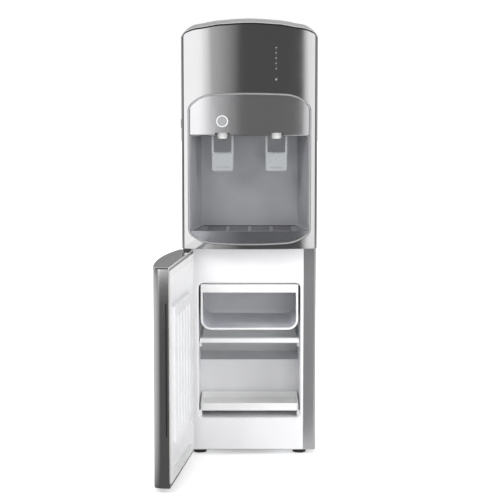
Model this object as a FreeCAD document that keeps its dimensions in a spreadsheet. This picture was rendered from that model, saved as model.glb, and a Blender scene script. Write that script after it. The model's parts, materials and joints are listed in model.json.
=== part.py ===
import FreeCAD, Part
import math
import operator
import os
import Sketcher

# A free-standing water cooler with a small refrigerator below it, door standing open.
# Millimetres.  X runs to the right, Y to the back and Z up.  The origin is on the floor,
# in the middle of the cabinet.

DOCUMENT = FreeCAD.newDocument("WaterCooler")
SHEET = DOCUMENT.addObject("Spreadsheet::Sheet", "Sizes")
Vector = FreeCAD.Vector
Rotation = FreeCAD.Rotation
FIRST_ROW = 2

# ------------------------------------------------------------------ driving dimensions

SIZES = (
    # cabinet
    ("body_width", 318),
    ("cabinet_depth", 285),
    ("panel_sheet", 1),
    ("panel_corner", 5.5),
    ("panel_bottom", 11.6),
    ("side_drop", 58),
    ("flange_right", 29.5),
    ("flange_left", 15.5),
    ("flange_upper", 15),
    ("flange_rear", 16),
    ("fit", 0.3),
    # base pan and feet
    ("foot_height", 11),
    ("foot_sole", 16.5),
    ("foot_top", 14),
    ("foot_side_inset", 38),
    ("foot_end_inset", 30),
    ("pan_sheet", 1.2),
    ("pan_rim", 18),
    ("pan_corner", 4),
    ("vent_length", 34),
    ("vent_width", 5),
    ("vent_pitch", 12),
    # back panel
    ("back_low", 205),
    ("back_side_gap", 5),
    ("louvre_drop", 144),
    ("louvre_pitch", 10),
    ("louvre_width", 90),
    ("louvre_height", 4),
    # convex upper front
    ("panel_stand", 36),
    ("panel_bulge", 18),
    ("upper_height", 542),
    ("front_drop", 12.5),
    ("front_wall", 2.5),
    ("front_corner", 8),
    ("front_edge", 6),
    ("arch_corner", 23),
    ("arch_shoulder", 150),
    ("arch_crown", 1300),
    ("arch_side", 69),
    ("arch_slip", 0.1),
    # top cover and bottle well
    ("cover_top", 1049),
    ("cover_wall", 2.5),
    ("cover_corner", 27),
    ("cover_shoulder", 100),
    ("cover_crown", 957),
    ("cover_side", 68),
    ("well_rim", 92),
    ("well_depth", 64),
    ("well_hole", 43),
    ("collar_flange", 60),
    ("collar_thick", 4),
    ("collar_skirt", 42),
    ("neck_bore", 28.5),
    ("neck_guide", 20),
    # dispensing recess
    ("bezel_side", 15),
    ("bezel_top_drop", 176),
    ("bezel_low_rise", 9),
    ("bezel_width", 4),
    ("bezel_proud", 1.2),
    ("bezel_deep", 8),
    ("bezel_top_corner", 26),
    ("bezel_top_shoulder", 80),
    ("bezel_low_corner", 22),
    ("bezel_low_shoulder", 90),
    ("bezel_crown", 1500),
    ("bezel_crown_side", 59),
    ("alcove_front", 35),
    ("alcove_depth", 82),
    ("alcove_narrowing", 26),
    ("alcove_rise", 25),
    ("alcove_corner", 28),
    ("alcove_wall", 2),
    ("housing_drop", 277),
    ("housing_inset", 2),
    ("housing_wall", 2.5),
    ("housing_back", 14),
    ("housing_edge", 1.5),
    ("housing_round", 4),
    ("recess_half", 17.5),
    ("recess_rise", 8),
    # taps
    ("tap_spacing", 127),
    ("tap_back", 20),
    ("spout_radius", 12),
    ("spout_bore", 4),
    ("spout_drop", 13),
    ("valve_half", 12),
    ("valve_height", 24),
    ("valve_front", 12),
    ("valve_rear", 24),
    ("pivot_back", 6),
    ("pivot_up", 7),
    ("pin_radius", 2),
    ("pin_play", 0.05),
    ("hub_radius", 5),
    ("hub_gap", 0.8),
    ("lever_width", 52),
    ("lever_arm", 5),
    ("lever_thick", 4),
    ("lever_drop", 367),
    ("paddle_height", 49),
    ("paddle_chamfer", 1),
    ("lever_corner", 5),
    ("paddle_groove", 29),
    ("groove_rise", 12),
    ("groove_height", 2),
    ("groove_depth", 0.8),
    ("lever_swing_room", 5),
    # lock button and indicators
    ("button_radius", 11),
    ("button_drop", 242),
    ("button_travel_room", 3),
    ("button_depth", 16),
    ("ring_width", 2.4),
    ("ring_depth", 10),
    ("lamp_inset", 97),
    ("lamp_radius", 1.5),
    ("lamp_big_radius", 2.6),
    ("lamp_drop", 145),
    ("lamp_gap", 24.5),
    ("lamp_pitch", 12.2),
    ("lamp_length", 9),
    ("post_radius", 3.6),
    ("board_thick", 1.6),
    ("board_width", 24),
    ("board_margin", 10),
    # drip tray
    ("tray_play", 0.4),
    ("tray_rise", 42),
    ("tray_wall", 2.2),
    ("tray_floor", 2.5),
    ("grille_thick", 2.5),
    ("grille_drop", 1),
    ("grille_play", 0.6),
    ("slot_width", 5),
    ("slot_pitch", 11),
    ("slot_length", 44),
    ("slot_bridge", 8),
    # refrigerator
    ("liner_wall", 2),
    ("liner_low", 12.5),
    ("liner_gap", 1),
    ("cavity_side", 37),
    ("cavity_low", 90),
    ("cavity_drop", 89),
    ("cavity_behind", 35),
    ("cavity_low_behind", 144),
    ("hump_top", 204),
    ("cavity_corner", 12),
    ("mouth_round", 3),
    ("bay_depth", 113),
    ("bay_top", 172),
    ("foam_gap", 6),
    ("ledge_width", 7),
    ("ledge_height", 6),
    ("bracket_height", 14),
    # freezer box
    ("freezer_side_gap", 5),
    ("freezer_share", 100),
    ("full_share", 214),
    ("freezer_top_gap", 3.5),
    ("hanger_width", 15),
    ("hanger_radius", 3),
    ("freezer_corner", 25),
    ("freezer_sheet", 1.6),
    ("freezer_front", 12),
    ("freezer_behind", 14),
    ("freezer_rim", 5),
    ("freezer_bar", 20),
    ("freezer_rim_thick", 4),
    # shelf and tray
    ("shelf_side_gap", 2.5),
    ("shelf_share", 70),
    ("shelf_glass", 4),
    ("shelf_front", 10),
    ("shelf_behind", 14),
    ("trim_height", 11),
    ("trim_depth", 16),
    ("trim_below", 2.5),
    ("crisper_side_gap", 3.5),
    ("crisper_low", 106),
    ("crisper_high", 124),
    ("crisper_front", 8),
    ("crisper_behind", 5),
    ("crisper_wall", 2.5),
    # door
    ("door_low", 11.8),
    ("door_top_gap", 5),
    ("door_gap", 2.5),
    ("door_wall", 1.5),
    ("door_edge", 2),
    ("door_open_angle", 97.5),
    ("hinge_side", 8),
    ("hinge_forward", 19),
    ("hinge_plate", 3),
    ("hinge_clear", 0.8),
    ("hinge_inner", 20),
    ("hinge_reach", 40),
    ("hinge_pin", 3),
    ("hinge_pin_length", 12),
    ("hinge_leg", 26),
    ("bush_radius", 6),
    ("bush_length", 14),
    ("bush_play", 0.05),
    ("door_liner_sheet", 2.5),
    ("gasket_seat", 10),
    ("gasket_inset", 8),
    ("gasket_width", 16),
    ("gasket_corner", 6),
    ("gasket_proud", 2.2),
    ("dike_inset", 9),
    ("dike_proud", 3),
    ("dike_rib", 6),
    ("dike_rib_pitch", 36),
    ("dike_rib_proud", 2),
    ("grip_low", 130),
    ("grip_top_gap", 78),
    ("grip_back", 4.6),
    ("grip_mouth", 2.8),
    ("grip_deep", 6),
    ("grip_wall", 1.5),
    # tanks
    ("tank_room", 63),
    ("tank_gap", 40.5),
    ("tank_wall", 1),
    ("tank_rise", 183),
    ("tank_drop", 169),
    ("jacket_thick", 4),
    ("jacket_rise", 40),
    ("jacket_drop", 30),
    ("insulation_thick", 13),
    ("lid_thick", 4),
    ("deck_high_rise", 169),
    ("deck_low_gap", 4.5),
    ("deck_sheet", 1.2),
    ("hot_radius", 50),
    ("hot_side", 60),
    ("hot_back", 20),
    ("hot_height", 120),
    ("hot_jacket", 12),
    ("hose_radius", 5),
    ("hose_drop", 253),
    ("hose_bend", 15),
    # refrigeration
    ("compressor_radius", 50),
    ("compressor_height", 128),
    ("compressor_dome", 22),
    ("compressor_behind", 54.5),
    ("compressor_side", 30),
    ("plate_level", 24),
    ("plate_thick", 2.5),
    ("plate_half", 72),
    ("plate_deep", 40),
    ("grommet_radius", 9),
    ("relay_width", 34),
    ("relay_height", 50),
    ("relay_depth", 22),
    ("drier_radius", 9),
    ("drier_length", 96),
    ("drier_side", 112),
    ("drier_low", 54),
    ("line_radius", 3),
    ("condenser_left_side", 69),
    ("condenser_right_side", 21),
    ("condenser_low", 240),
    ("condenser_drop", 217),
    ("condenser_runs", 9),
    ("condenser_tube", 2.4),
    ("condenser_wire", 0.9),
    ("condenser_gap", 14),
    ("wire_pitch", 12),
    ("clip_width", 8),
    ("clip_height", 10),
    # controls at the back and the side
    ("switch_side", 62),
    ("switch_spacing", 34),
    ("switch_drop", 163),
    ("switch_half_width", 8),
    ("switch_half_height", 12),
    ("switch_rim", 2),
    ("switch_depth", 14),
    ("rocker_play", 0.5),
    ("rocker_proud", 3),
    ("rocker_depth", 8),
    ("rocker_pivot", 2),
    ("rocker_tilt", 8),
    ("service_inset", 37),
    ("gland_rise", 113),
    ("gland_radius", 9),
    ("gland_bore", 4),
    ("gland_length", 16),
    ("drain_rise", 53),
    ("drain_radius", 8),
    ("drain_bore", 5),
    ("drain_length", 18),
    ("drain_flange", 13),
    ("cap_radius", 11),
    ("cap_length", 14),
    ("knob_radius", 11),
    ("knob_proud", 5),
    ("knob_back", 60),
    ("knob_drop", 252),
    ("shaft_radius", 3),
    ("shaft_length", 14),
    ("thermostat_radius", 17),
    ("thermostat_depth", 22),
    ("screw_radius", 4),
    ("screw_height", 2),
    ("screw_inset", 8),
)

# What follows from the sizes above: levels hang from the cover or stand on the foot of the
# upper front, widths are measured in from the sides, and depths forward from the back.
FOLLOWS = (
    ("body_half", "body_width / 2"),
    ("front_low", "cover_top - upper_height"),
    ("front_top", "cover_top - front_drop"),
    ("side_top", "cover_top - side_drop"),
    ("well_floor", "cover_top - well_depth"),
    ("arch_half", "body_half - arch_side"),
    ("cover_half", "body_half - cover_side"),
    ("louvre_low", "cover_top - louvre_drop"),
    ("bezel_half", "body_half - bezel_side"),
    ("bezel_crown_half", "bezel_half - bezel_crown_side"),
    ("bezel_top", "cover_top - bezel_top_drop"),
    ("bezel_low", "front_low + bezel_low_rise"),
    ("alcove_back_half", "bezel_half - alcove_narrowing"),
    ("alcove_low", "front_low + alcove_rise"),
    ("housing_low", "cover_top - housing_drop"),
    ("lever_bottom", "cover_top - lever_drop"),
    ("paddle_top", "lever_bottom + paddle_height"),
    ("button_height", "cover_top - button_drop"),
    ("lamp_side", "body_half - lamp_inset"),
    ("lamp_low", "cover_top - lamp_drop"),
    ("tray_top", "front_low + tray_rise"),
    ("liner_top", "front_low - liner_gap"),
    ("foam_top", "front_low - foam_gap"),
    ("cavity_half", "body_half - cavity_side"),
    ("cavity_high", "front_low - cavity_drop"),
    ("cavity_depth", "cabinet_depth - cavity_behind"),
    ("cavity_low_depth", "cabinet_depth - cavity_low_behind"),
    ("bay_front", "cabinet_depth - bay_depth"),
    ("freezer_half", "cavity_half - freezer_side_gap"),
    ("freezer_low", "hump_top + (cavity_high - hump_top) * freezer_share / full_share"),
    ("freezer_high", "cavity_high - freezer_top_gap"),
    ("freezer_back", "cavity_depth - freezer_behind"),
    ("shelf_half", "cavity_half - shelf_side_gap"),
    ("shelf_level", "hump_top + (cavity_high - hump_top) * shelf_share / full_share"),
    ("shelf_back", "cavity_depth - shelf_behind"),
    ("crisper_half", "cavity_half - crisper_side_gap"),
    ("crisper_back", "cavity_low_depth - crisper_behind"),
    ("door_top", "front_low - door_top_gap"),
    ("grip_high", "door_top - grip_top_gap"),
    ("tank_radius", "(cabinet_depth - alcove_depth - tank_room) / 2"),
    ("tank_back", "cabinet_depth / 2 - tank_gap - tank_radius"),
    ("tank_low", "front_low + tank_rise"),
    ("tank_high", "cover_top - tank_drop"),
    ("jacket_low", "tank_low + jacket_rise"),
    ("jacket_high", "tank_high - jacket_drop"),
    ("deck_high", "front_low + deck_high_rise"),
    ("deck_low", "front_low - deck_low_gap"),
    ("hose_level", "cover_top - hose_drop"),
    ("compressor_back", "cabinet_depth / 2 - compressor_behind"),
    ("condenser_left", "body_half - condenser_left_side"),
    ("condenser_right", "body_half - condenser_right_side"),
    ("condenser_pitch", "(cover_top - condenser_drop - condenser_low) / (condenser_runs - 1)"),
    ("switch_level", "cover_top - switch_drop"),
    ("service_side", "body_half - service_inset"),
    ("gland_level", "front_low + gland_rise"),
    ("drain_level", "front_low + drain_rise"),
    ("knob_level", "cover_top - knob_drop"),
)

ROWS = [(alias, str(number)) for alias, number in SIZES]
ROWS += [(alias, "=" + formula) for alias, formula in FOLLOWS]
for row, (alias, content) in enumerate(ROWS, FIRST_ROW):
    SHEET.set(f"A{row}", alias.replace("_", " "))
    SHEET.setAlias(f"B{row}", alias)
    SHEET.set(f"B{row}", content)
DOCUMENT.recompute()

# ------------------------------------------------------------------ sizes and expressions

SIGNS = {"+": operator.add, "-": operator.sub, "*": operator.mul, "/": operator.truediv}


class Size:
    """A length that carries its value and the expression that binds a property to the sheet."""

    def __init__(self, value, text):
        self.value = value
        self.text = text

    def __add__(self, other):
        return joined(self, "+", other)

    def __radd__(self, other):
        return joined(other, "+", self)

    def __sub__(self, other):
        return joined(self, "-", other)

    def __rsub__(self, other):
        return joined(other, "-", self)

    def __mul__(self, other):
        return joined(self, "*", other)

    def __rmul__(self, other):
        return joined(other, "*", self)

    def __truediv__(self, other):
        return joined(self, "/", other)

    def __neg__(self):
        return joined(0, "-", self)


def as_size(number):
    return number if isinstance(number, Size) else Size(float(number), repr(float(number)))


def joined(left, sign, right):
    left = as_size(left)
    right = as_size(right)
    return Size(SIGNS[sign](left.value, right.value), f"({left.text} {sign} {right.text})")


def root(size):
    return Size(math.sqrt(size.value), f"sqrt({size.text})")


class FromSheet:
    """Reads a named size from the sheet."""

    def __getattr__(self, alias):
        return Size(float(SHEET.get(alias)), "Sizes." + alias)


S = FromSheet()
HALF = S.body_half
FRONT = -S.cabinet_depth / 2
BACK = S.cabinet_depth / 2
BOW_RADIUS = (HALF * HALF + S.panel_bulge * S.panel_bulge) / (S.panel_bulge * 2)
BOW_CENTRE = FRONT - S.panel_stand - S.panel_bulge + BOW_RADIUS
BOW_AHEAD = FRONT - S.panel_stand - S.panel_bulge * 2
HINGE_X = -HALF + S.hinge_side
HINGE_Y = FRONT - S.hinge_forward
HINGE_FRONT = HINGE_Y - S.hinge_side


def bind(thing, sizes):
    for place, size in sizes.items():
        thing.setExpression(place, as_size(size).text)


# ------------------------------------------------------------------ nodes

NODES = []


def node(label, thing):
    """Gives a finished sub-part the name of its file."""
    thing.Label = label
    NODES.append(thing)
    return thing


# ------------------------------------------------------------------ sketches

def at(step):
    return Vector(as_size(step[0]).value, as_size(step[1]).value, 0)


def round_edge(start, end, radius, side):
    """The arc under half a circle from start to end, with its centre on that side of the way."""
    chord = end - start
    middle = (start + end) / 2
    across = Vector(-chord.y, chord.x, 0).normalize()
    reach = math.sqrt(radius ** 2 - (chord.Length / 2) ** 2)
    centre = middle + across * (reach if side == "left" else -reach)
    first, last = (start, end) if side == "left" else (end, start)
    angles = [math.atan2(p.y - centre.y, p.x - centre.x) for p in (first, last)]
    if angles[1] < angles[0]:
        angles[1] += 2 * math.pi
    return Part.ArcOfCircle(Part.Circle(centre, Vector(0, 0, 1), radius), *angles)


def hold(drawing, constraint, size):
    """Adds a dimension to a sketch and binds it to the sheet."""
    index = drawing.addConstraint(constraint)
    drawing.setExpression(f"Constraints[{index}]", as_size(size).text)


def draw(drawing, loop):
    """A closed loop. A step is (x, y) for a straight run, or (x, y, radius, side) for an arc."""
    ends = []
    for before, step in zip([loop[-1]] + loop[:-1], loop):
        if len(step) == 2:
            ends.append((drawing.addGeometry(Part.LineSegment(at(before), at(step))), 1, 2))
        else:
            edge = round_edge(at(before), at(step), as_size(step[2]).value, step[3])
            order = (1, 2) if step[3] == "left" else (2, 1)
            ends.append((drawing.addGeometry(edge),) + order)
    for before, (line, start, end), step in zip([ends[-1]] + ends[:-1], ends, loop):
        drawing.addConstraint(Sketcher.Constraint("Coincident", before[0], before[2], line, start))
        spot = at(step)
        hold(drawing, Sketcher.Constraint("DistanceX", -1, 1, line, end, spot.x), step[0])
        hold(drawing, Sketcher.Constraint("DistanceY", -1, 1, line, end, spot.y), step[1])
        if len(step) == 4:
            radius = as_size(step[2])
            hold(drawing, Sketcher.Constraint("Radius", line, radius.value), radius)


def draw_circle(drawing, x, y, radius):
    centre = at((x, y))
    ring = drawing.addGeometry(Part.Circle(centre, Vector(0, 0, 1), as_size(radius).value))
    hold(drawing, Sketcher.Constraint("DistanceX", -1, 1, ring, 3, centre.x), x)
    hold(drawing, Sketcher.Constraint("DistanceY", -1, 1, ring, 3, centre.y), y)
    hold(drawing, Sketcher.Constraint("Radius", ring, as_size(radius).value), radius)


def rectangle(left, low, right, high, radius=None):
    """A loop round a rectangle, with rounded corners where a radius is given."""
    if radius is None:
        return [(left, low), (right, low), (right, high), (left, high)]
    return [
        (right - radius, low),
        (right, low + radius, radius, "left"),
        (right, high - radius),
        (right - radius, high, radius, "left"),
        (left + radius, high),
        (left, high - radius, radius, "left"),
        (left, low + radius),
        (left + radius, low, radius, "left"),
    ]


def mirrored(loop):
    """The same loop on the other side of X = 0."""
    turned = {"left": "right", "right": "left"}
    return [
        (-as_size(step[0]), step[1]) + ((step[2], turned[step[3]]) if len(step) == 4 else ())
        for step in loop
    ]


# ------------------------------------------------------------------ bodies and features

def new_body(name):
    return DOCUMENT.addObject("PartDesign::Body", name)


def sketch(body, plane, loops, circles=(), offset=0):
    """A sketch on one of the body's own planes, moved along that plane's normal."""
    drawing = body.newObject("Sketcher::SketchObject", body.Name + "_sketch")
    role = plane + "_Plane"
    origin = [feature for feature in body.Origin.OriginFeatures if feature.Role == role]
    drawing.AttachmentSupport = (origin[0], [""])
    drawing.MapMode = "FlatFace"
    bind(drawing, {"AttachmentOffset.Base.z": offset})
    for loop in loops:
        draw(drawing, loop)
    for circle in circles:
        draw_circle(drawing, *circle)
    return drawing


def span(plane, low, high):
    """Where the sketch lies and how long its pad is, for a run from low to high."""
    return (-high if plane == "XZ" else low), high - low


def pad(body, plane, loops, low, high, circles=()):
    offset, length = span(plane, as_size(low), as_size(high))
    feature = body.newObject("PartDesign::Pad", body.Name + "_pad")
    feature.Profile = sketch(body, plane, loops, circles, offset)
    bind(feature, {"Length": length})
    return feature


def pocket(body, plane, loops, low, high, circles=()):
    """Cuts the same run as pad() would fill, and makes sure that it cuts."""
    DOCUMENT.recompute()
    before = body.Shape.Volume
    offset, length = span(plane, as_size(low), as_size(high))
    feature = body.newObject("PartDesign::Pocket", body.Name + "_pocket")
    feature.Profile = sketch(body, plane, loops, circles, offset)
    feature.Reversed = True
    bind(feature, {"Length": length})
    DOCUMENT.recompute()
    if not body.Shape.Volume < before:
        raise RuntimeError(body.Name + ": a pocket cuts nothing")
    return feature


def turn(body, loop, kind="Revolution"):
    """Revolves a loop of (radius, height) about the body's own vertical axis."""
    feature = body.newObject("PartDesign::" + kind, body.Name + "_turned")
    profile = sketch(body, "XZ", [loop])
    feature.Profile = profile
    feature.ReferenceAxis = (profile, ["V_Axis"])
    feature.Angle = 360
    return feature


def loft(body, plane, sections, kind="AdditiveLoft"):
    """A straight loft through (place along the normal, loop) sections."""
    drawings = [sketch(body, plane, [loop], offset=span(plane, as_size(place), as_size(place))[0])
                for place, loop in sections]
    feature = body.newObject("PartDesign::" + kind, body.Name + "_loft")
    feature.Profile = drawings[0]
    feature.Sections = drawings[1:]
    feature.Ruled = True
    return feature


def dress(body, kind, size, pick):
    """Rounds or chamfers the edges of the body that pick() accepts."""
    DOCUMENT.recompute()
    names = [f"Edge{i}" for i, edge in enumerate(body.Shape.Edges, 1) if pick(edge)]
    if not names:
        raise RuntimeError(body.Name + ": no edge to dress")
    base = body.Tip
    feature = body.newObject("PartDesign::" + kind, body.Name + "_" + kind.lower())
    feature.Base = (base, names)
    bind(feature, {"Radius" if kind == "Fillet" else "Size": size})
    return feature


def fillet(body, radius, pick):
    return dress(body, "Fillet", radius, pick)


def chamfer(body, size, pick):
    return dress(body, "Chamfer", size, pick)


def near(value, size):
    return abs(value - as_size(size).value) < 0.01


def runs_along(edge, axis):
    """True for a straight edge along that axis."""
    if edge.Curve.TypeId != "Part::GeomLine":
        return False
    way = edge.tangentAt(edge.FirstParameter)
    return abs(abs(getattr(way, axis)) - 1) < 1e-6


def place(body, x, y, z):
    bind(body, {"Placement.Base.x": x, "Placement.Base.y": y, "Placement.Base.z": z})


# ------------------------------------------------------------------ primitives and booleans

def box(name, x, y, z):
    block = DOCUMENT.addObject("Part::Box", name)
    for pair, length in ((x, "Length"), (y, "Width"), (z, "Height")):
        bind(block, {length: as_size(pair[1]) - pair[0]})
    place(block, x[0], y[0], z[0])
    return block


AXES = {"x": Rotation(Vector(0, 1, 0), 90), "y": Rotation(Vector(1, 0, 0), -90), "z": Rotation()}


def rod(name, axis, start, end, across, radius, kind="Part::Cylinder", measure="Radius"):
    """A cylinder along an axis; across gives its place on the other two axes, in order."""
    cylinder = DOCUMENT.addObject(kind, name)
    cylinder.Placement = FreeCAD.Placement(Vector(), AXES[axis])
    bind(cylinder, {measure: radius, "Height": as_size(end) - start})
    spots = list(across)
    spots.insert("xyz".index(axis), start)
    place(cylinder, *spots)
    return cylinder


def hexagon(name, axis, start, end, across, radius):
    """A six-sided head or nut, placed like a rod, with that radius over its corners."""
    return rod(name, axis, start, end, across, radius, "Part::Prism", "Circumradius")


def fuse(name, pieces):
    joint = DOCUMENT.addObject("Part::MultiFuse", name)
    joint.Shapes = pieces
    return joint


def cut(name, base, tools):
    result = DOCUMENT.addObject("Part::Cut", name)
    result.Base = base
    result.Tool = tools[0] if len(tools) == 1 else fuse(name + "_tools", tools)
    return result


def common(name, first, second):
    result = DOCUMENT.addObject("Part::Common", name)
    result.Base = first
    result.Tool = second
    return result


def group(name, solids):
    """Separate solids that share one node."""
    bundle = DOCUMENT.addObject("Part::Compound", name)
    bundle.Links = solids
    return bundle


PIPE_SIDES = 8


def pipe(name, points, radius, bend):
    """A tube along straight runs, eight-sided, with each bend made of two mitred chords."""
    stops = [Vector(*[as_size(value).value for value in point]) for point in points]
    reach = as_size(bend).value
    way = [stops[0]]
    for before, corner, after in zip(stops, stops[1:], stops[2:]):
        back = (before - corner).normalize()
        forth = (after - corner).normalize()
        half = back.getAngle(forth) / 2
        way.append(corner + back * (reach / math.tan(half)))
        way.append(corner + (back + forth).normalize() * (reach / math.sin(half) - reach))
        way.append(corner + forth * (reach / math.tan(half)))
    way.append(stops[-1])
    ring = Part.Circle(way[0], way[1] - way[0], as_size(radius).value).toShape()
    corners = ring.discretize(PIPE_SIDES + 1)
    tube = DOCUMENT.addObject("Part::Feature", name)
    mitred = 1
    tube.Shape = Part.makePolygon(way).makePipeShell([Part.makePolygon(corners)], True, False, mitred)
    return tube


# ------------------------------------------------------------------ shared outlines

def bow_y(x, inset):
    """The convex front's surface at x, moved inward by inset."""
    reach = BOW_RADIUS - inset
    return BOW_CENTRE - root(reach * reach - x * x)


def plan(half, inset, corner, back):
    """The convex front seen from above, with rounded corners and a straight back."""
    reach = BOW_RADIUS - inset
    corner_x = half - corner
    corner_y = BOW_CENTRE - root((reach - corner) * (reach - corner) - corner_x * corner_x)
    grow = reach / (reach - corner)
    touch_x = corner_x * grow
    touch_y = BOW_CENTRE + (corner_y - BOW_CENTRE) * grow
    return [
        (-half, back),
        (-half, corner_y),
        (-touch_x, touch_y, corner, "left"),
        (touch_x, touch_y, reach, "left"),
        (half, corner_y, corner, "left"),
        (half, back),
    ]


def bow_band(half, outer, inner):
    """The strip between two insets of the convex front, seen from above."""
    return [
        (-half, bow_y(half, outer)),
        (half, bow_y(half, outer), BOW_RADIUS - outer, "left"),
        (half, bow_y(half, inner)),
        (-half, bow_y(half, inner), BOW_RADIUS - inner, "right"),
    ]


def arch(half, level, radii, up, inset=0):
    """Three points of a three-radius arch on the right side, and its radii."""
    corner, shoulder, crown, crown_half = radii
    shoulder_x = (crown - shoulder) * crown_half / crown
    shoulder_z = root((crown - shoulder) * (crown - shoulder) - shoulder_x * shoulder_x) - crown
    corner_x = half - corner
    gap = shoulder - corner
    rise = root(gap * gap - (corner_x - shoulder_x) * (corner_x - shoulder_x))
    corner_z = shoulder_z + rise
    small, middle, large = corner - inset, shoulder - inset, crown - inset
    side = (half - inset, level + corner_z * up)
    blend = (shoulder_x + (corner_x - shoulder_x) * middle / gap,
             level + (shoulder_z + rise * middle / gap) * up)
    crown_x = crown_half * large / crown
    top = (crown_x, level + (root(large * large - crown_x * crown_x) - crown) * up)
    return side, blend, top, small, middle, large


def over(points):
    """The steps over the top of an arch, from the right side to the left."""
    side, blend, top, small, middle, large = points
    return [
        side,
        blend + (small, "left"),
        top + (middle, "left"),
        (-top[0], top[1], large, "left"),
        (-blend[0], blend[1], middle, "left"),
        (-side[0], side[1], small, "left"),
    ]


def under(points):
    """The steps below a hanging arch, from the left side to the right."""
    return [(-step[0], step[1]) + step[2:] for step in over(points)]


FRONT_ARCH = (S.arch_corner, S.arch_shoulder, S.arch_crown, S.arch_half)
COVER_ARCH = (S.cover_corner, S.cover_shoulder, S.cover_crown, S.cover_half)
BEZEL_TOP = (S.bezel_top_corner, S.bezel_top_shoulder, S.bezel_crown, S.bezel_crown_half)
BEZEL_LOW = (S.bezel_low_corner, S.bezel_low_shoulder, S.bezel_crown, S.bezel_crown_half)


def bezel_outline(inset):
    """The rim of the dispensing recess, seen from the front."""
    low = arch(S.bezel_half, S.bezel_low, BEZEL_LOW, -1, inset)
    top = arch(S.bezel_half, S.bezel_top, BEZEL_TOP, 1, inset)
    return under(low) + over(top)


def prism(name, plane, loops, low, high, circles=()):
    body = new_body(name)
    pad(body, plane, loops, low, high, circles)
    return body


def bowed_block(name, outline, low, high, half, inset, corner, back):
    """A block with this outline from the front and the convex outline from above."""
    face = prism(name + "_face", "XZ", [outline], BOW_AHEAD, back)
    above = prism(name + "_plan", "XY", [plan(half, inset, corner, back)], low, high)
    return common(name, face, above)


# ------------------------------------------------------------------ cabinet

PAN_HALF = HALF - S.panel_sheet - S.fit
PAN_FRONT = FRONT + S.liner_wall + S.fit
PAN_BACK = BACK - S.panel_sheet - S.fit


def feet():
    pads = []
    for x in (-1, 1):
        for y in (-1, 1):
            body = new_body("foot")
            turn(body, [
                (0, 0),
                (S.foot_sole, 0),
                (S.foot_top, S.foot_height),
                (0, S.foot_height),
            ])
            place(body, (HALF - S.foot_side_inset) * x, (BACK - S.foot_end_inset) * y, 0)
            pads.append(body)
    node("feet", group("feet", pads))


def base_pan():
    body = new_body("base_pan")
    low = S.foot_height
    rim = rectangle(-PAN_HALF, PAN_FRONT, PAN_HALF, PAN_BACK, S.pan_corner)
    pad(body, "XY", [rim], low, low + S.pan_rim)
    sheet = S.pan_sheet
    room = rectangle(-PAN_HALF + sheet, PAN_FRONT + sheet, PAN_HALF - sheet, PAN_BACK - sheet,
                     S.pan_corner - sheet)
    pocket(body, "XY", [room], low + sheet, low + S.pan_rim)
    middle = S.compressor_back
    vents = [rectangle(S.vent_pitch * i - S.vent_width / 2, middle - S.vent_length / 2,
                       S.vent_pitch * i + S.vent_width / 2, middle + S.vent_length / 2)
             for i in (4, 5, 6, 7, 8)]
    pocket(body, "XY", vents, low, low + sheet)
    node("base_pan", body)


def side_panel(side, flange):
    body = new_body("side_panel_" + side)
    sheet = S.panel_sheet
    corner = S.panel_corner
    outline = [
        (HALF - flange, FRONT + sheet),
        (HALF - flange, FRONT),
        (HALF - corner, FRONT),
        (HALF, FRONT + corner, corner, "left"),
        (HALF, BACK - corner),
        (HALF - corner, BACK, corner, "left"),
        (HALF - S.flange_rear, BACK),
        (HALF - S.flange_rear, BACK - sheet),
        (HALF - corner, BACK - sheet),
        (HALF - sheet, BACK - corner, corner - sheet, "right"),
        (HALF - sheet, FRONT + corner),
        (HALF - corner, FRONT + sheet, corner - sheet, "right"),
    ]
    if side == "left":
        outline = mirrored(outline)
    pad(body, "XY", [outline], S.panel_bottom, S.side_top)
    if side == "right":
        step = rectangle(HALF - flange, S.liner_top, HALF - S.flange_upper, S.side_top)
        pocket(body, "XZ", [step], FRONT, FRONT + sheet)
    if side == "left":
        hole = (FRONT + S.knob_back, S.knob_level, S.shaft_radius * 2)
        pocket(body, "YZ", [], -HALF, -HALF + sheet, [hole])
    node("side_panel_" + side, body)


def back_panel():
    body = new_body("back_panel")
    half = HALF - S.back_side_gap
    sheet = S.panel_sheet
    pad(body, "XZ", [rectangle(-half, S.back_low, half, S.side_top)], BACK, BACK + sheet)
    louvres = [rectangle(S.louvre_width * (i - 0.5) + S.louvre_height,
                         S.louvre_low + S.louvre_pitch * j,
                         S.louvre_width * (i + 0.5) - S.louvre_height,
                         S.louvre_low + S.louvre_pitch * j + S.louvre_height)
               for i in (0, 1) for j in range(7)]
    pocket(body, "XZ", louvres, BACK, BACK + sheet)
    width = S.switch_half_width + S.fit
    height = S.switch_half_height + S.fit
    holes = [rectangle(-S.switch_side - S.switch_spacing * i - width, S.switch_level - height,
                       -S.switch_side - S.switch_spacing * i + width, S.switch_level + height)
             for i in (0, 1)]
    pocket(body, "XZ", holes, BACK, BACK + sheet)
    rounds = [(-S.service_side, S.gland_level, S.gland_radius + S.fit),
              (-S.service_side, S.drain_level, S.drain_radius + S.fit)]
    pocket(body, "XZ", [], BACK, BACK + sheet, rounds)
    node("back_panel", body)


def decks():
    """Two sheet decks across the cabinet: one on the refrigerator, one under the cold tank."""
    half = PAN_HALF
    alcove = FRONT + S.alcove_depth + S.fit
    for name, level, front in (("service_deck", S.deck_low, FRONT + S.liner_wall + S.fit),
                               ("tank_deck", S.deck_high, alcove)):
        body = new_body(name)
        outline = rectangle(-half, front, half, PAN_BACK, S.pan_corner)
        pad(body, "XY", [outline], level, level + S.deck_sheet)
        if name == "tank_deck":
            passage = (-S.tap_spacing / 2, FRONT + S.alcove_depth + S.hose_radius * 3,
                       S.hose_radius * 1.6)
            pocket(body, "XY", [], level, level + S.deck_sheet, [passage])
        node(name, body)


# ------------------------------------------------------------------ upper front

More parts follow.
